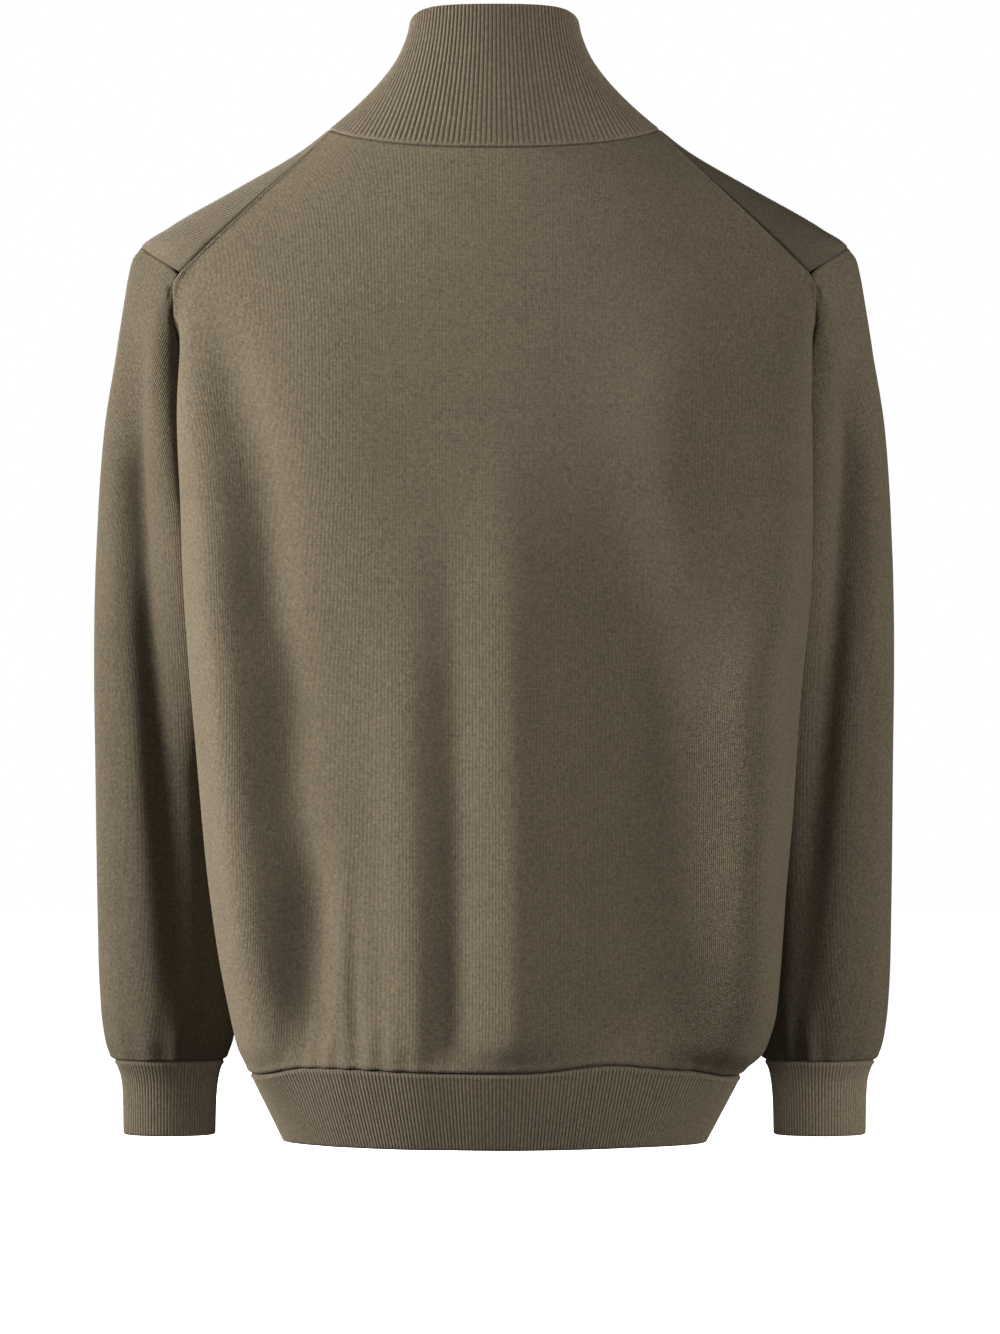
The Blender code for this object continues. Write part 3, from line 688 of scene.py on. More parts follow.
# paths are (z, x, height), x on the wearer's left being above zero
backFolds = (
    {
        "width": 50,
        "path": (
            (-640, 128, 5), (-560, 128, 9), (-400, 130, 11), (-250, 132, 10), (-170, 134, 6),
            (-110, 130, 1),
        ),
    },
    {
        "width": 52,
        "path": (
            (-640, -132, 6), (-560, -134, 10), (-400, -136, 12), (-250, -138, 11), (-170, -138, 8),
            (-110, -132, 1),
        ),
    },
    {
        "width": 14,
        "path": (
            (-634, 151, 3), (-591, 155, 5), (-545, 162, 7), (-491, 170, 7), (-385, 179, 7),
            (-319, 186, 7), (-252, 193, 5), (-186, 203, 3), (-150, 206, 0.5),
        ),
    },
    {
        "width": 24,
        "path": (
            (-634, 128, -5), (-591, 130, -13), (-522, 131, -16), (-454, 141, -16), (-386, 143, -16),
            (-318, 152, -16), (-249, 157, -14), (-181, 175, -12), (-140, 188, -8), (-105, 196, -2),
        ),
    },
    {
        "width": 30,
        "path": (
            (-634, 104, -3), (-591, 106, -7), (-491, 112, -7.5), (-385, 118, -7.5), (-300, 124, -6.5),
            (-220, 136, -4), (-150, 156, -1.5),
        ),
    },
    {
        "width": 38,
        "path": (
            (-634, 96, -3), (-560, 96, -7), (-400, 100, -8), (-300, 108, -6), (-220, 122, -3),
            (-150, 140, -1),
        ),
    },
    {"width": 14, "path": ((-634, 104, 1.5), (-591, 104, 3.0), (-500, 103, 1.8), (-440, 103, 0))},
    {"width": 5, "path": ((-634, 95, -1.0), (-600, 96, -2.4), (-520, 95, -1.2), (-470, 95, 0))},
    {
        "width": 17,
        "path": (
            (-634, 57, 1.5), (-591, 55, 3.8), (-491, 58, 3.6), (-385, 62, 2.4), (-330, 60, 0),
        ),
    },
    {
        "width": 13,
        "path": (
            (-634, 30, -2.6), (-591, 29, -4.6), (-491, 29, -4), (-385, 30, -3), (-319, 31, -1.6),
            (-250, 33, 0),
        ),
    },
    {"width": 4, "path": ((-634, 41, -0.5), (-590, 40, -0.7), (-540, 40, 0))},
    {
        "width": 25,
        "path": (
            (-634, -12, 5), (-591, -13, 9.2), (-491, -13, 9), (-385, -11, 7.6), (-319, -10, 5),
            (-252, -8, 2), (-200, -8, 0),
        ),
    },
    {
        "width": 31,
        "path": (
            (-634, -97, -7), (-591, -96, -15), (-491, -97, -17), (-385, -94, -14), (-319, -91, -9),
            (-252, -88, -3), (-200, -86, 0),
        ),
    },
    {
        "width": 24,
        "path": (
            (-634, -154, 9), (-591, -158, 20), (-522, -158, 23), (-454, -163, 22), (-386, -166, 19),
            (-318, -181, 13), (-249, -190, 6.5), (-200, -196, 1.5),
        ),
    },
    {
        "width": 25,
        "path": (
            (-385, -122, 0), (-319, -133, -2.5), (-252, -143, -4), (-186, -152, -3.5),
            (-150, -156, -1),
        ),
    },
)
frontFolds = (
    {
        "width": 15,
        "path": (
            (-634, -150, 3), (-560, -158, 5), (-440, -166, 5), (-330, -172, 3), (-260, -176, 0),
        ),
    },
    {
        "width": 18,
        "path": (
            (-634, -122, -3), (-580, -124, -7), (-450, -130, -7), (-340, -138, -4), (-270, -142, 0),
        ),
    },
    {
        "width": 20,
        "path": (
            (-634, -72, 2), (-580, -70, 4.5), (-470, -66, 4), (-360, -60, 2), (-300, -58, 0),
        ),
    },
    {
        "width": 12,
        "path": (
            (-634, -34, -2.5), (-590, -35, -5), (-500, -37, -4), (-400, -38, -2), (-340, -38, 0),
        ),
    },
    {
        "width": 26,
        "path": (
            (-634, 14, 3.5), (-590, 16, 5.5), (-480, 18, 5), (-370, 20, 2.5), (-290, 22, 0),
        ),
    },
    {
        "width": 24,
        "path": (
            (-634, 78, -3.5), (-590, 80, -6), (-480, 84, -5.5), (-370, 88, -3), (-290, 92, 0),
        ),
    },
    {
        "width": 16,
        "path": (
            (-634, 144, 2.5), (-570, 152, 4.5), (-450, 162, 4.5), (-330, 170, 3), (-260, 174, 0),
        ),
    },
)
gatherLook = {"height": 0.8, "pitch": 13.5, "reach": 34.0}


def seamWave(x, front):
    # how far the hem seam rises and falls round the body
    side = -5.0 * smoothStep((np.abs(x) - 128) / 34)
    if front:
        return side + 3.0 * np.exp(-(((x - 62) / 38) ** 2)) + 2.0 * np.exp(-(((x + 96) / 34) ** 2))
    return side + 5.0 * np.exp(-(((x + 76) / 34) ** 2)) + 2.0 * np.exp(-(((x - 108) / 46) ** 2))


def gathers(x, rise, front):
    # short gathers that the hem band pulls into the cloth just above it
    turn = 2 * np.pi * x / gatherLook["pitch"]
    wobble = np.sin(x / 23.0 + (1.3 if front else 0.2)) * 2.1
    left = np.exp(-(((x - 84) / 42) ** 2))
    right = 0.75 * np.exp(-(((x + 108) / 34) ** 2))
    spread = left + right + 0.12
    fade = np.exp(-((rise / gatherLook["reach"]) ** 2))
    return gatherLook["height"] * np.cos(turn + wobble) * spread * fade


def panelRows(front):
    look = bodyLook
    low = levels["hemSeam"] + (levels["armpit"] - levels["hemSeam"]) * crowded(look["lowRows"], 0.7, 0.0)
    edges = [sideEdge(z) for z in low]
    corner = 360 - form["cornerTurn"] if front else form["cornerTurn"]
    edges += [armholeEdge(turn) for turn in np.linspace(180, corner, look["armholeRows"] + 1)[1:]]
    edges += [strapEdge(1 - t, front) for t in crowded(look["strapRows"] + 1, 0.0, 0.75)[1:]]
    return edges


def rimTable(front):
    # how the rim beside the panel's side edge changes from the hem up to the neck
    look = bodyLook
    low, mid = look["lowRows"], look["lowRows"] + look["armholeRows"]
    rows = mid + look["strapRows"]
    at = (0, low - 12, low + 6, mid - 4, mid + 3, rows)
    side, hole, strap = look["sideRim"], look["armholeRim"], look["strapRim"]
    return [
        np.interp(np.arange(rows), at, (side[i], side[i], hole[i], hole[i], strap[i], strap[i]))[:, None]
        for i in range(4)
    ]


def makePanel(name, front):
    look = bodyLook
    edges = panelRows(front)
    if front:
        shares = crowded(look["halfColumns"], 0.72, 0.5)
        halves = [pointsAt(frontRow(angle, z, neckDip(z, True)), shares) for angle, z in edges]
        slitRow = min(range(len(halves)), key=lambda i: abs(halves[i][-1][2] - form["slitEndZ"]))
        halves = np.array(halves)
        grid = np.concatenate([halves, halves[:, ::-1] * (-1, 1, 1)], 1)
    else:
        shares = crowded(look["halfColumns"], -0.7, 0.72)
        halves = [pointsAt(backRow(angle, z, neckDip(z, False)), shares) for angle, z in edges]
        grid = mirrored(np.array(halves))
    rise = grid[:, :, 2] - levels["hemSeam"]
    grid[:, :, 2] += seamWave(grid[:, :, 0], front) * (1 - smoothStep(rise / 60))
    normals, flip = gridNormals(grid, False, (0, 0))
    start, end, first, last = edgeDistances(grid)
    sideways = np.minimum(start, end)
    relief = foldRelief(grid[:, :, 0], grid[:, :, 2], frontFolds if front else backFolds)
    relief = relief * smoothStep(sideways / 13) * smoothStep((first + 8) / 30)
    relief += gathers(grid[:, :, 0], rise, front)
    relief += seamRoll(sideways, *rimTable(front))
    relief += seamRoll(first, *look["hemRim"])
    relief += seamRoll(last, *look["neckRim"])
    # how near each point is to a seam, for the painted shade along it
    seam = np.exp(-((np.minimum(np.minimum(sideways, first), last) / 0.9) ** 2))
    if front:
        half = look["halfColumns"]
        middle = np.full(grid.shape[:2], 99.0)
        middle[slitRow:, :half] = end[slitRow:, :half] - end[slitRow:, half - 1 : half]
        middle[slitRow:, half:] = start[slitRow:, half:] - start[slitRow:, half : half + 1]
        relief += seamRoll(middle, *look["slitRim"])
    outer = grid + normals * relief[:, :, None]
    inner = outer - normals * look["wall"]

    def slit(r, c):
        return (c == look["halfColumns"] - 1) & (r >= slitRow)

    skip = slit if front else None
    middleX = start - (start + end) / 2
    piece = clothPiece(name, outer, inner, flip, False, (middleX, first), {"seam": seam}, knit, skip)
    printSize(grid, False, first, start + end)
    return piece


print("body panels")
backPanel = makePanel("backPanel", False)
frontPanel = makePanel("frontPanel", True)
settle(backPanel, "back_panel")
settle(frontPanel, "front_panel")

# shoulder straps
strapLook = {
    "wall": 2.0,
    "cut": (0.12, 0.17, 0.0145),
    "ribs": 86,
    "pointsPerRib": 4,
    "columns": 21,
    "ribHeight": 0.85,
    "lean": 0.035,  # how much the ribs slant from the front seam to the back one
    "longRim": (0.1, 2.2, 1.5, 0.6),
    "endRim": (0.35, 1.8, 0.9, 0.0),
    "neckRim": (0, 1, 1, 0.6),
}


def makeStrap(side, sign):
    look = strapLook
    shares = np.linspace(0, 1, look["ribs"] * look["pointsPerRib"] + 1)
    across = 1 - 2 * crowded(look["columns"], 0.6, 0.6)
    grid = np.array([[strapPoint(share, a) for a in across] for share in shares]) * (sign, 1, 1)
    normals, flip = gridNormals(grid, False, (sign * 150, 0))
    start, end, first, last = edgeDistances(grid)
    sideways = np.minimum(start, end)
    phase = (shares[:, None] + look["lean"] * across[None, :]) * look["ribs"]
    wave = 0.5 + 0.5 * np.cos(2 * np.pi * phase)
    plain = smoothStep(np.minimum(sideways, np.minimum(first, last)) / 2.0)
    relief = look["ribHeight"] * (wave - 1) * plain
    rims = seamRoll(sideways, *look["longRim"]) + seamRoll(last, *look["endRim"])
    relief += rims + seamRoll(first, *look["neckRim"])
    outer = grid + normals * relief[:, :, None]
    inner = grid - normals * look["wall"]
    # how near each point is to a seam, and where the rib grooves lie: masks for painted shade
    seam = np.exp(-((np.minimum(sideways, np.minimum(first, last)) / 0.9) ** 2))
    shades = {"seam": seam, "groove": (1 - wave) * plain}
    piece = clothPiece("shoulderStrap" + side, outer, inner, flip, False, (start, first), shades, rib)
    printSize(grid, False, first, start + end)
    settle(piece, "shoulder_strap_" + side.lower())


print("shoulder straps")
makeStrap("Left", 1)
makeStrap("Right", -1)

# sleeves
sleeveLook = {
    "wall": 2.0,
    "cut": (0.36, 0.56, 0.155),
    "radius": 47.0,
    "rightLean": 5,  # degrees that the right sleeve's folds are turned on by
    "foldStart": 7,  # how far from the seam the folds reach their full height
    "columns": 120,
    "topRows": 60,
    "tubeRows": 84,
    "topRim": (0.35, 1.8, 0.9, 0.0),
    "cuffRim": (0.6, 3.0, 2.2, 1.3),
    "gather": (0.9, 30.0),  # height and reach of the gathers above the cuff
    "cornerTurn": 51,  # where strap, sleeve and back meet
    "cornerPasses": 14,
    "cornerSpread": 16,
    "cornerCalm": 10,
    "seamFill": (8.0, 4.0, 16.0),  # how the cloth stands up behind the armhole's seam: height, start, reach
    "seamFillTurn": (85, 28),
    "seamFillTop": (-100, 45),  # the level where it starts, and how far down it grows
}
# paths are (z, turn in degrees, height); turn is 0 outside, 90 behind and 180 inside
sleeveFolds = (
    {
        "width": 12, "onRight": 0.45,
        "path": (
            (-440, 134, 0), (-386, 125, 6), (-318, 113, 11), (-250, 101, 12), (-181, 72, 10),
            (-145, 59, 6), (-120, 52, 0),
        ),
    },
    {
        "width": 16,
        "path": (
            (-620, 106, -1), (-591, 105, -3), (-522, 101, -5), (-454, 94, -8), (-386, 85, -10),
            (-318, 73, -13), (-250, 60, -14), (-181, 39, -11), (-130, 30, -3), (-100, 26, 0),
        ),
    },
    {"width": 14, "path": ((-560, 24, 0), (-440, 22, 2), (-320, 12, 3), (-200, -4, 2), (-150, -10, 0))},
    {"width": 16, "path": ((-560, 262, 0), (-480, 256, 2.5), (-400, 250, 3), (-330, 244, 0))},
    {"width": 13, "path": ((-560, 292, 0), (-470, 284, -3), (-380, 276, -3.5), (-300, 268, 0))},
    {"width": 12, "path": ((-300, 300, 0), (-240, 310, 3), (-180, 318, 3), (-120, 322, 0))},
    {"width": 12, "path": ((-300, 280, 0), (-240, 288, -4), (-180, 296, -4), (-130, 302, 0))},
)


def makeSleeve(side, sign):
    look = sleeveLook
    turns = np.arange(look["columns"]) * 360.0 / look["columns"]
    shares = crowded(look["topRows"] + 1, 0.8, 0.0)
    drop = levels["cuffSeam"] - levels["sleeveFree"]
    heights = levels["sleeveFree"] + drop * crowded(look["tubeRows"] + 1, 0.0, 0.75)[1:]
    top = [[sleeveTop(turn, share) for turn in turns] for share in shares]
    tube = [[tubePoint(turn, z) for turn in turns] for z in heights]
    grid = np.array(top + tube)
    seamAway = seamDistances(grid, grid[0])
    eased = grid
    for _ in range(look["cornerPasses"]):
        eased = (np.roll(eased, 1, axis=1) + 2 * eased + np.roll(eased, -1, axis=1)) / 4
    fromCorner = (turns - look["cornerTurn"])[None, :]
    nearCorner = np.exp(-((fromCorner / look["cornerSpread"]) ** 2)) * smoothStep(0.4 + seamAway / 5)
    grid = grid + (eased - grid) * nearCorner[:, :, None]  # the seam's corner is not carried down the sleeve
    normals, flip = gridNormals(grid, True, (215, -30))
    _, _, first, last = edgeDistances(grid)
    z = grid[:, :, 2]
    radius = look["radius"]
    relief = np.zeros(z.shape)
    lean = 0 if side == "Left" else look["rightLean"]
    for fold in sleeveFolds:
        path = [(level, turn + lean, height) for level, turn, height in fold["path"]]
        table = SmoothTable(sorted(path))
        middle, height = table.at(z)
        low, high = min(path)[0], max(path)[0]
        fade = smoothStep((z - low + 20) / 20) * smoothStep((high + 20 - z) / 20)
        away = np.radians((turns[None, :] - middle + 180) % 360 - 180) * radius / fold["width"]
        share = fold.get("onRight", 1) if side == "Right" else 1
        relief += share * height * fade * np.exp(-(away**2))
    relief *= smoothStep(seamAway / look["foldStart"])
    rise, near, far = look["seamFill"]
    fillTurn, fillWidth = look["seamFillTurn"]
    fillTop, fillFade = look["seamFillTop"]
    behind = np.exp(-(((turns - fillTurn) / fillWidth) ** 2))[None, :] * smoothStep((fillTop - z) / fillFade)
    relief += rise * behind * (1 - np.exp(-((seamAway / near) ** 2))) * np.exp(-((seamAway / far) ** 2))
    tall, reach = look["gather"]
    wobble = 1.7 * np.sin(np.radians(turns * 2 + (20 if side == "Left" else 75)))
    gather = np.cos(np.radians(turns * 15) + wobble) * (0.6 + 0.4 * np.cos(np.radians(turns * 3 + 40)))
    relief += tall * gather[None, :] * np.exp(-((last / reach) ** 2)) * smoothStep(last / 3)
    calm = 1 - np.exp(-((fromCorner / look["cornerCalm"]) ** 2))
    relief += seamRoll(seamAway, *look["topRim"]) * calm + seamRoll(last, *look["cuffRim"])
    outer = grid + normals * relief[:, :, None]
    inner = outer - normals * look["wall"]
    # how near each point is to a seam, for the painted shade along it
    seam = np.exp(-((np.minimum(seamAway, last) / 0.9) ** 2))
    around = np.broadcast_to(turns[None, :] / 360 * 2 * math.pi * radius, z.shape)
    outer, inner = outer * (sign, 1, 1), inner * (sign, 1, 1)
    flip = flip if sign > 0 else not flip
    piece = clothPiece("sleeve" + side, outer, inner, flip, True, (around, first), {"seam": seam}, knit)
    printSize(grid, True, first)
    settle(piece, "sleeve_" + side.lower())


print("sleeves")
makeSleeve("Left", 1)
makeSleeve("Right", -1)

# cuffs
cuffLook = {
    "wall": 3.0,
    "cut": (0.185, 0.055, 0.01),
    "ribs": 90,
    "pointsPerRib": 5,
    "rows": 16,
    "ribHeight": 0.7,
    "tip": (0.5, 1.6, 1.2, 1.2),
}


def ribWave(phase):
    # wide round ribs with narrow grooves between them
    return (0.5 + 0.5 * np.cos(2 * np.pi * phase)) ** 0.7


def ribbedTube(name, grid, normals, flip, phase, look, sign=1):
    _, _, first, last = edgeDistances(grid)
    wave = np.broadcast_to(ribWave(phase), grid.shape[:2])
    ends = smoothStep((first + 0.5) / 1.6)
    relief = look["ribHeight"] * (wave - 1) * ends + seamRoll(first, *look["tip"])
    draw = roundedEdge(last, look["wall"])
    outer = grid + normals * (relief - draw)[:, :, None]
    inner = grid - normals * (look["wall"] + 0.35 * (wave - 1) - draw)[:, :, None]
    # how near each point is to the seam, and where the rib grooves lie: masks for painted shade
    seam = np.exp(-((first / 0.9) ** 2))
    shades = {"seam": seam, "groove": (1 - wave) * ends}
    u = np.broadcast_to(phase * ribLook["wale"], grid.shape[:2])
    outer, inner = outer * (sign, 1, 1), inner * (sign, 1, 1)
    piece = clothPiece(name, outer, inner, flip, True, (u, first), shades, rib)
    printSize(grid, True, first)
    return piece


def makeCuff(side, sign):
    look = cuffLook
    count = look["ribs"] * look["pointsPerRib"]
    turns = np.arange(count) * 360.0 / count
    drop = levels["cuffBottom"] - levels["cuffSeam"]
    heights = levels["cuffSeam"] + drop * crowded(look["rows"], 0.5, 0.8)
    grid = np.array([[tubePoint(turn, z) for turn in turns] for z in heights])
    normals, flip = gridNormals(grid, True, (226, -76))
    phase = (np.arange(count) / look["pointsPerRib"])[None, :]
    flip = flip if sign > 0 else not flip
    piece = ribbedTube("cuff" + side, grid, normals, flip, phase, look, sign)
    settle(piece, "cuff_" + side.lower())


print("cuffs")
makeCuff("Left", 1)
makeCuff("Right", -1)

# hem band
hemLook = {
    "wall": 3.0,
    "cut": (0.86, 0.055, 0.046),
    "ribs": 350,
    "pointsPerRib": 4,
    "rows": 15,
    "ribHeight": 0.75,
    "tip": (0.6, 1.8, 1.3, 1.2),
}


def makeHem():
    look = hemLook
    count = look["ribs"] * look["pointsPerRib"]
    half = count // 2 + 1
    rows = []
    for share in crowded(look["rows"], 0.5, 0.8):
        z = levels["hemSeam"] + (levels["hemBottom"] - levels["hemSeam"]) * share
        ring = pointsAt(torsoPoint(np.linspace(0, 180, 2 * form["fine"]), z), np.linspace(0, 1, half))
        rows.append(np.concatenate([ring[::-1] * (-1, 1, 1), ring[1:-1]]))
    grid = np.array(rows)
    front = grid[:, :, 1] < 0
    wave = np.where(front, seamWave(grid[:, :, 0], True), seamWave(grid[:, :, 0], False))
    down = np.linspace(0, 1, look["rows"])[:, None]
    grid[:, :, 2] += wave * (1 - smoothStep(down * 1.1))
    normals, flip = gridNormals(grid, True, (0, 0))
    folds = np.where(
        front,
        foldRelief(grid[:, :, 0], np.full(front.shape, levels["hemSeam"]), frontFolds),
        foldRelief(grid[:, :, 0], np.full(front.shape, levels["hemSeam"]), backFolds),
    )
    settleIn = smoothStep(np.abs(grid[:, :, 1]) / 30)
    grid = grid + normals * (folds * 0.28 * settleIn * (1 - 0.5 * down))[:, :, None]
    phase = (np.arange(count) / look["pointsPerRib"])[None, :]
    piece = ribbedTube("hemBand", grid, normals, flip, phase, look)
    settle(piece, "hem_band")


print("hem band")
makeHem()

# collar
collarLook = {
    "wall": 3.0,
    "cut": (0.52, 0.13, 0.055),
    "halfRibs": 85,
    "pointsPerRib": 6,
    "rows": 34,
    "ribHeight": 0.85,
    "topHalfWidth": 58.0,
    "topMiddleY": 8.0,
    "topBack": 38.0,
    "topFront": 90.0,
    "topDrop": 50.0,
    "topPower": 2.2,
    "flare": 1.5,
    "leanBase": -0.112,
    "leanTop": 0.10,
    "band": 3.0,  # plain linked band above the seam
    "baseRim": (0.25, 2.0, 1.2, 0.7),
}


def collarTopCurve():
    look = collarLook
    angles = np.linspace(0, 180, 2 * form["fine"])
    sideways = np.sin(np.radians(angles))
    along = np.cos(np.radians(angles))
    reach = np.where(along >= 0, look["topBack"], look["topFront"])
    x = look["topHalfWidth"] * sideways ** form["backRoundness"]
    y = look["topMiddleY"] + reach * np.sign(along) * np.abs(along) ** form["backRoundness"]
    z = levels["collarTop"] - look["topDrop"] * ((1 - along) / 2) ** look["topPower"]
    return toSlit(np.stack([x, y, z], axis=-1))


def makeCollar():
    look = collarLook
    count = look["halfRibs"] * look["pointsPerRib"] + 1
    t = np.linspace(0, 1, count)
    base = pointsAt(neckCurve(), t + look["leanBase"] * np.sin(np.pi * t) / np.pi)
    top = pointsAt(collarTopCurve(), t + look["leanTop"] * np.sin(np.pi * t) / np.pi)
    rings = []
    for share in crowded(look["rows"], 0.55, 0.8):
        ring = top + (base - top) * (1 - share) ** look["flare"]
        ring[:, 2] = base[:, 2] + (top[:, 2] - base[:, 2]) * share
        rings.append(ring)
    grid = mirrored(np.array(rings))
    normals, flip = gridNormals(grid, False, (0, -10))
    start, end, first, last = edgeDistances(grid)
    sideways = np.minimum(start, end)
    phase = (np.concatenate([-t[::-1], t[1:]]) * look["halfRibs"])[None, :]
    wave = np.broadcast_to(ribWave(phase), grid.shape[:2])
    ribbed = smoothStep((first - look["band"] + 0.8) / 1.4) * smoothStep((sideways - 1) / 2)
    relief = look["ribHeight"] * (wave - 1) * ribbed - 0.25 * (1 - ribbed)
    relief += seamRoll(first, *look["baseRim"]) + seamRoll(sideways, 0.4, 2.0, 1.4, 0.5)
    draw = roundedEdge(last, look["wall"])
    outer = grid + normals * (relief - draw)[:, :, None]
    inner = grid - normals * (look["wall"] + 0.4 * (wave - 1) - draw)[:, :, None]
    # how near each point is to the seam and to the top of the plain band, and where the rib grooves lie:
    # masks for painted shade
    seam = np.exp(-((first / 1.0) ** 2)) + 0.5 * np.exp(-(((first - look["band"]) / 0.7) ** 2)) * (1 - wave)
    shades = {"seam": np.clip(seam, 0, 1), "groove": (1 - wave) * ribbed}
    u = np.broadcast_to(phase * ribLook["wale"], grid.shape[:2])
    piece = clothPiece("collarRib", outer, inner, flip, False, (u, first), shades, rib)
    printSize(grid, False, first, start + end)
    settle(piece, "collar")


print("collar")
makeCollar()

# the zip
zipLook = {
    "behindKnit": 3.6,  # from the cloth's outer side to the front of the tape
    "behindRib": 4.9,
    "bend": (14.0, 10.0),  # where the tape moves back under the collar: below its seam, and over
    "tape": (1.2, 9.0),  # its two edges, from the middle
    "tapeWall": 0.8,
    "tapeCut": (0.0105, 0.29, 0.0022),
    "tapeBelowTop": 2.0,
    "tapePastSlit": 6.0,
    "toothSize": (2.7, 1.7, 1.2),
    "toothReach": 0.45,  # past the middle, between the other side's teeth
    "pitch": 2.4,
    "teeth": (-198.4, 22.8),
    "soften": 0.28,
}
materialLook = {
    "tape": {"colour": (0.075, 0.061, 0.043), "thread": 0.9, "bump": 0.5},
    "metal": {"colour": (0.30, 0.275, 0.235), "roughness": 0.38, "wear": 0.10},
}


def tapeMaterial(name, look):
    # twill: threads that cross on a slant
    material, tree, shader = newMaterial(name, look["colour"], 0.85, 0.05)
    shader.inputs["Specular IOR Level"].default_value = 0.25
    across, down = clothPlace(tree)
    slant = mathNode(tree, "MULTIPLY_ADD", across, 0.6, down)
    ribs = mathNode(tree, "SINE", mathNode(tree, "MULTIPLY", slant, 2 * math.pi / look["thread"]))
    ribs = mathNode(tree, "MULTIPLY_ADD", ribs, 0.5, 0.5)
    grain = noiseAt(tree, objectPlace(tree), 900.0, 2.0)
    height = mathNode(tree, "MULTIPLY_ADD", grain, 0.5, ribs)
    # the colour follows the threads' height: painted shade where they lie low and painted light where they
    # stand high, besides random grain tone
    shade = mixColour(tree, height, scaled(look["colour"], 0.55), scaled(look["colour"], 1.2))
    tree.links.new(shade, shader.inputs["Base Color"])
    addBump(tree, shader, height, look["bump"], 0.0003)
    return material


def metalMaterial(name, look):
    material, tree, shader = newMaterial(name, look["colour"], look["roughness"], 0.0, 1.0)
    place = objectPlace(tree)
    cloud = noiseAt(tree, place, 180.0, 3.0)
    grain = noiseAt(tree, place, 2600.0, 2.0)
    shade = mixColour(tree, cloud, scaled(look["colour"], 0.72), look["colour"])
    tree.links.new(shade, shader.inputs["Base Color"])
    rough = mathNode(tree, "MULTIPLY_ADD", cloud, look["wear"] * 2, look["roughness"] - look["wear"])
    tree.links.new(rough, shader.inputs["Roughness"])
    addBump(tree, shader, grain, 0.15, 0.0001)
    return material


tapeCloth = tapeMaterial("wovenTape", materialLook["tape"])
dullMetal = metalMaterial("dullMetal", materialLook["metal"])


def zipPlaces(heights):
    # points down the middle of the front's outer side, and the way each one faces
    base, top = neckCurve()[-1], collarTopCurve()[-1]
    front = torsoTable.at(heights)[3]
    share = np.clip((heights - base[2]) / (top[2] - base[2]), 0, 1)
    collar = top[1] + (base[1] - top[1]) * (1 - share) ** collarLook["flare"]
    y = np.where(heights < base[2], -front, collar)
    points = np.stack([np.zeros(len(heights)), y, heights], axis=-1)
    along = np.gradient(points, axis=0)
    facing = np.stack([np.zeros(len(heights)), along[:, 2], -along[:, 1]], axis=-1)
    facing /= np.linalg.norm(facing, axis=1)[:, None]
    return points, facing * np.where(facing[:, 1:2] > 0, -1, 1)


def tapeDepth(heights):
    look = zipLook
    below, over = look["bend"]
    bend = smoothStep((heights - neckCurve()[-1][2] + below) / over)
    return look["behindKnit"] + (look["behindRib"] - look["behindKnit"]) * bend


def makeTape(side, sign):
    look = zipLook
    high = float(collarTopCurve()[-1][2]) - look["tapeBelowTop"]
    heights = np.linspace(form["slitEndZ"] - look["tapePastSlit"], high, 90)
    points, facing = zipPlaces(heights)
    front = points - facing * tapeDepth(heights)[:, None]
    across = np.linspace(look["tape"][0], look["tape"][1], 9) * sign
    outer = front[:, None, :] + np.array([[x, 0, 0] for x in across])[None, :, :]
    start, end, first, last = edgeDistances(outer)
    edge = np.minimum(np.minimum(start, end), np.minimum(first, last))
    draw = roundedEdge(edge, look["tapeWall"])[:, :, None]
    inner = outer - facing[:, None, :] * (look["tapeWall"] - draw)
    outer = outer - facing[:, None, :] * draw
    _, flip = gridNormals(outer, False, (0, 0))
    piece = clothPiece("zipTape" + side, outer, inner, flip, False, (start, first), {}, tapeCloth)
    long, wide = float(first.max()) * mm, float(start.max()) * mm
    print("   long", round(long, 4), "wide", round(wide, 4))
    settle(piece, "zip_tape_" + side.lower())


def makeTooth():
    # a small block whose head narrows and has a bump that locks over the next one
    width, depth, height = [value * mm for value in zipLook["toothSize"]]
    bpy.ops.object.select_all(action="DESELECT")
    bpy.ops.mesh.primitive_cube_add(size=1, location=(width / 2, 0, 0))
    tooth = bpy.context.object
    tooth.name = "tooth"
    tooth.scale = (width, depth, height)
    bpy.ops.object.transform_apply(location=True, rotation=False, scale=True)
    bpy.ops.object.mode_set(mode="EDIT")
    bpy.ops.mesh.select_mode(type="FACE")
    bpy.ops.mesh.select_all(action="DESELECT")
    shape = bmesh.from_edit_mesh(tooth.data)
    for face in shape.faces:
        face.select = face.normal.x < -0.9
    bmesh.update_edit_mesh(tooth.data)
    bpy.ops.mesh.inset(thickness=height * 0.2)
    bpy.ops.transform.translate(value=(-height * 0.35, 0, 0))
    bpy.ops.mesh.select_all(action="SELECT")
    bpy.ops.mesh.bevel(offset=height * 0.12, segments=1)
    bpy.ops.object.mode_set(mode="OBJECT")
    return tooth


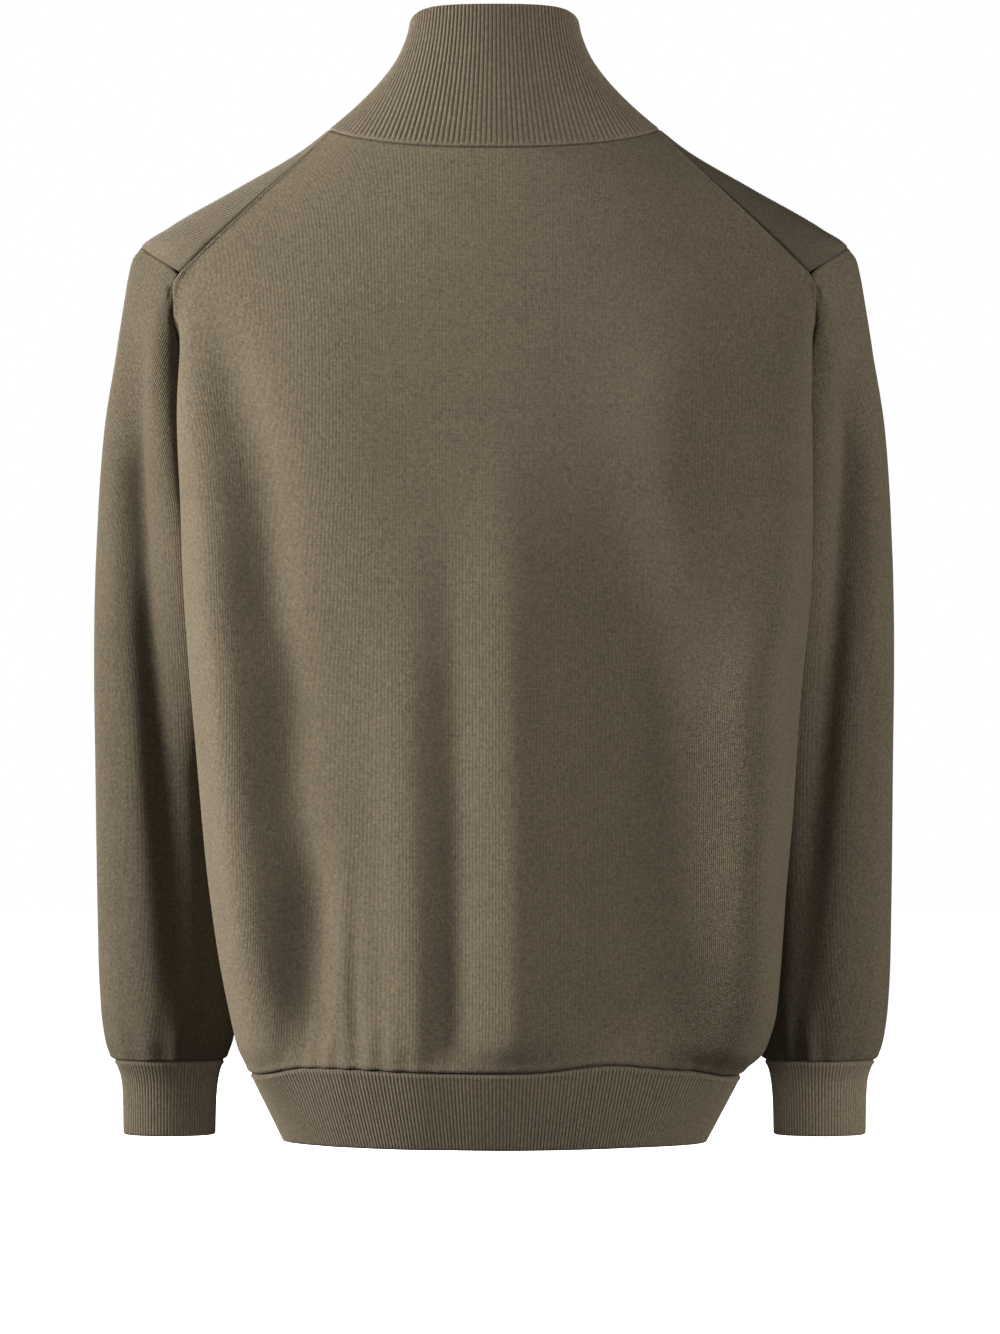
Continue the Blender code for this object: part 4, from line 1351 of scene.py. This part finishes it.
def makeTeeth(side, sign, tooth):
    look = zipLook
    low, high = look["teeth"]
    shift = 0 if sign > 0 else look["pitch"] / 2
    heights = np.arange(low + 0.8 + shift, high, look["pitch"])
    points, facing = zipPlaces(heights)
    deep = tapeDepth(heights) - 0.3 - look["toothSize"][1] / 2
    copies = []
    for point, face, depth in zip(points, facing, deep):
        place = (point - face * depth) * mm
        copy = tooth.copy()
        copy.data = tooth.data.copy()
        tilt = math.atan2(-face[2], -face[1])
        turn = mathutils.Matrix.Rotation(tilt, 4, "X")
        if sign < 0:
            turn = turn @ mathutils.Matrix.Rotation(math.pi, 4, "Y")
        start = mathutils.Matrix.Translation((-(look["toothReach"]) * mm, 0, 0))
        copy.data.transform(mathutils.Matrix.Translation(place) @ turn @ start)
        bpy.context.scene.collection.objects.link(copy)
        copies.append(copy)
    bpy.ops.object.select_all(action="DESELECT")
    for copy in copies:
        copy.select_set(True)
    bpy.context.view_layer.objects.active = copies[0]
    bpy.ops.object.join()
    teeth = bpy.context.object
    teeth.name = "zipTeeth" + side
    teeth.data.materials.clear()
    teeth.data.materials.append(dullMetal)
    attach(teeth, "garment")
    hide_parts("zip_teeth_" + side.lower())
    print("  ", teeth.name, len(copies), "teeth")


def makeSoftened(name, node, body, offset):
    # a hard part from its own plain form, with its edges rounded over
    bpy.ops.object.select_all(action="DESELECT")
    mesh = frame["nodes"][node].data.copy()
    piece = bpy.data.objects.new(name, mesh)
    bpy.context.scene.collection.objects.link(piece)
    piece.select_set(True)
    bpy.context.view_layer.objects.active = piece
    bpy.ops.object.mode_set(mode="EDIT")
    bpy.ops.mesh.select_all(action="SELECT")
    bpy.ops.mesh.remove_doubles(threshold=0.00001)
    bpy.ops.mesh.dissolve_limited(angle_limit=math.radians(2))
    bpy.ops.object.mode_set(mode="OBJECT")
    bevel = piece.modifiers.new("edges", "BEVEL")
    bevel.width = offset * mm
    bevel.segments = 2
    bevel.limit_method = "ANGLE"
    bevel.angle_limit = math.radians(40)
    bevel.harden_normals = False
    bpy.ops.object.modifier_apply(modifier="edges")
    bpy.ops.object.shade_smooth_by_angle(angle=math.radians(35))
    mesh.materials.clear()
    mesh.materials.append(dullMetal)
    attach(piece, body)
    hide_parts(node)


print("zip")
makeTape("Left", 1)
makeTape("Right", -1)
modelTooth = makeTooth()
makeTeeth("Left", 1, modelTooth)
makeTeeth("Right", -1, modelTooth)
bpy.data.objects.remove(modelTooth)
makeSoftened("zipStop", "zip_stop", "garment", 0.4)
makeSoftened("zipSlider", "zip_slider", "garment", zipLook["soften"])
makeSoftened("zipPull", "zip_pull", "pull", zipLook["soften"])

# stage and light
stageLook = {"floorZ": -0.9, "reach": 9.0, "colour": (0.93, 0.93, 0.93), "glow": 0.96, "sky": 0.065}
lights = (
    # name, place, size, power and what it lights
    ("bodyKey", (2.75, 1.75, 1.1), 1.2, 128.0, "body"),
    ("leftRim", (3.25, 0.4, 0.3), 1.0, 270.0, "all"),
    ("rightRim", (-3.0, 1.1, -0.15), 1.0, 98.0, "all"),
    ("ribFill", (-2.0, 2.8, 0.5), 1.4, 60.0, "ribbed"),
    ("cuffFill", (0.3, 3.6, -0.2), 1.4, 80.0, "cuffs"),
    ("sleeveFill", (0.3, 3.6, -0.2), 1.4, 13.0, "sleeves"),
    ("zipSide", (1.1, -3.4, 1.0), 1.8, 150.0, "all"),
)
lightColour = (1.0, 0.98, 0.95)

bpy.ops.object.select_all(action="DESELECT")
bpy.ops.mesh.primitive_plane_add(size=2 * stageLook["reach"], location=(0, 0, stageLook["floorZ"]))
floor = bpy.context.object
floor.name = "floor"
bpy.ops.object.transform_apply(location=True, rotation=False, scale=False)
paper, _, paperShader = newMaterial("palePaper", stageLook["colour"], 0.9)
paperShader.inputs["Emission Color"].default_value = (1, 1, 1, 1)
paperShader.inputs["Emission Strength"].default_value = stageLook["glow"]
floor.data.materials.append(paper)
floor.visible_diffuse = False
floor.visible_glossy = False

world = bpy.data.worlds.new("studio")
bpy.context.scene.world = world
world.use_nodes = True
sky = world.node_tree.nodes["Background"]
seen = world.node_tree.nodes.new("ShaderNodeLightPath").outputs["Is Camera Ray"]
strength = mathNode(world.node_tree, "MULTIPLY_ADD", seen, 1.0 - stageLook["sky"], stageLook["sky"])
sky.inputs["Color"].default_value = (1, 1, 1, 1)
world.node_tree.links.new(strength, sky.inputs["Strength"])

aim = np.array([0.0, 0.0, -0.33])
lit = {
    "body": ("back", "front", "shoulder", "collar", "hem", "zip"),
    "ribbed": ("collar", "hem", "cuff"),
    "cuffs": ("cuff",),
    "sleeves": ("sleeve",),
}
receivers = {}
for group, names in lit.items():
    receivers[group] = bpy.data.collections.new(group + "Lit")
    for piece in bpy.context.scene.objects:
        if piece.type == "MESH" and piece.name.startswith(names):
            receivers[group].objects.link(piece)
for name, place, size, power, group in lights:
    lamp = bpy.data.lights.new(name, "AREA")
    lamp.shape = "DISK"
    lamp.size = size
    lamp.energy = power
    lamp.color = lightColour
    lampObject = bpy.data.objects.new(name, lamp)
    lampObject.location = place
    away = np.array(place) - aim
    flatReach = math.hypot(away[0], away[1])
    lampObject.rotation_euler = (math.atan2(flatReach, away[2]), 0, math.atan2(away[0], -away[1]))
    lampObject.visible_camera = False
    if group in receivers:
        lampObject.light_linking.receiver_collection = receivers[group]
    bpy.context.scene.collection.objects.link(lampObject)
bpy.context.scene.view_settings.view_transform = "Standard"
print("stage and lights set")

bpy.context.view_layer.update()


def plain(box):
    return [[float(value) for value in corner] for corner in box]
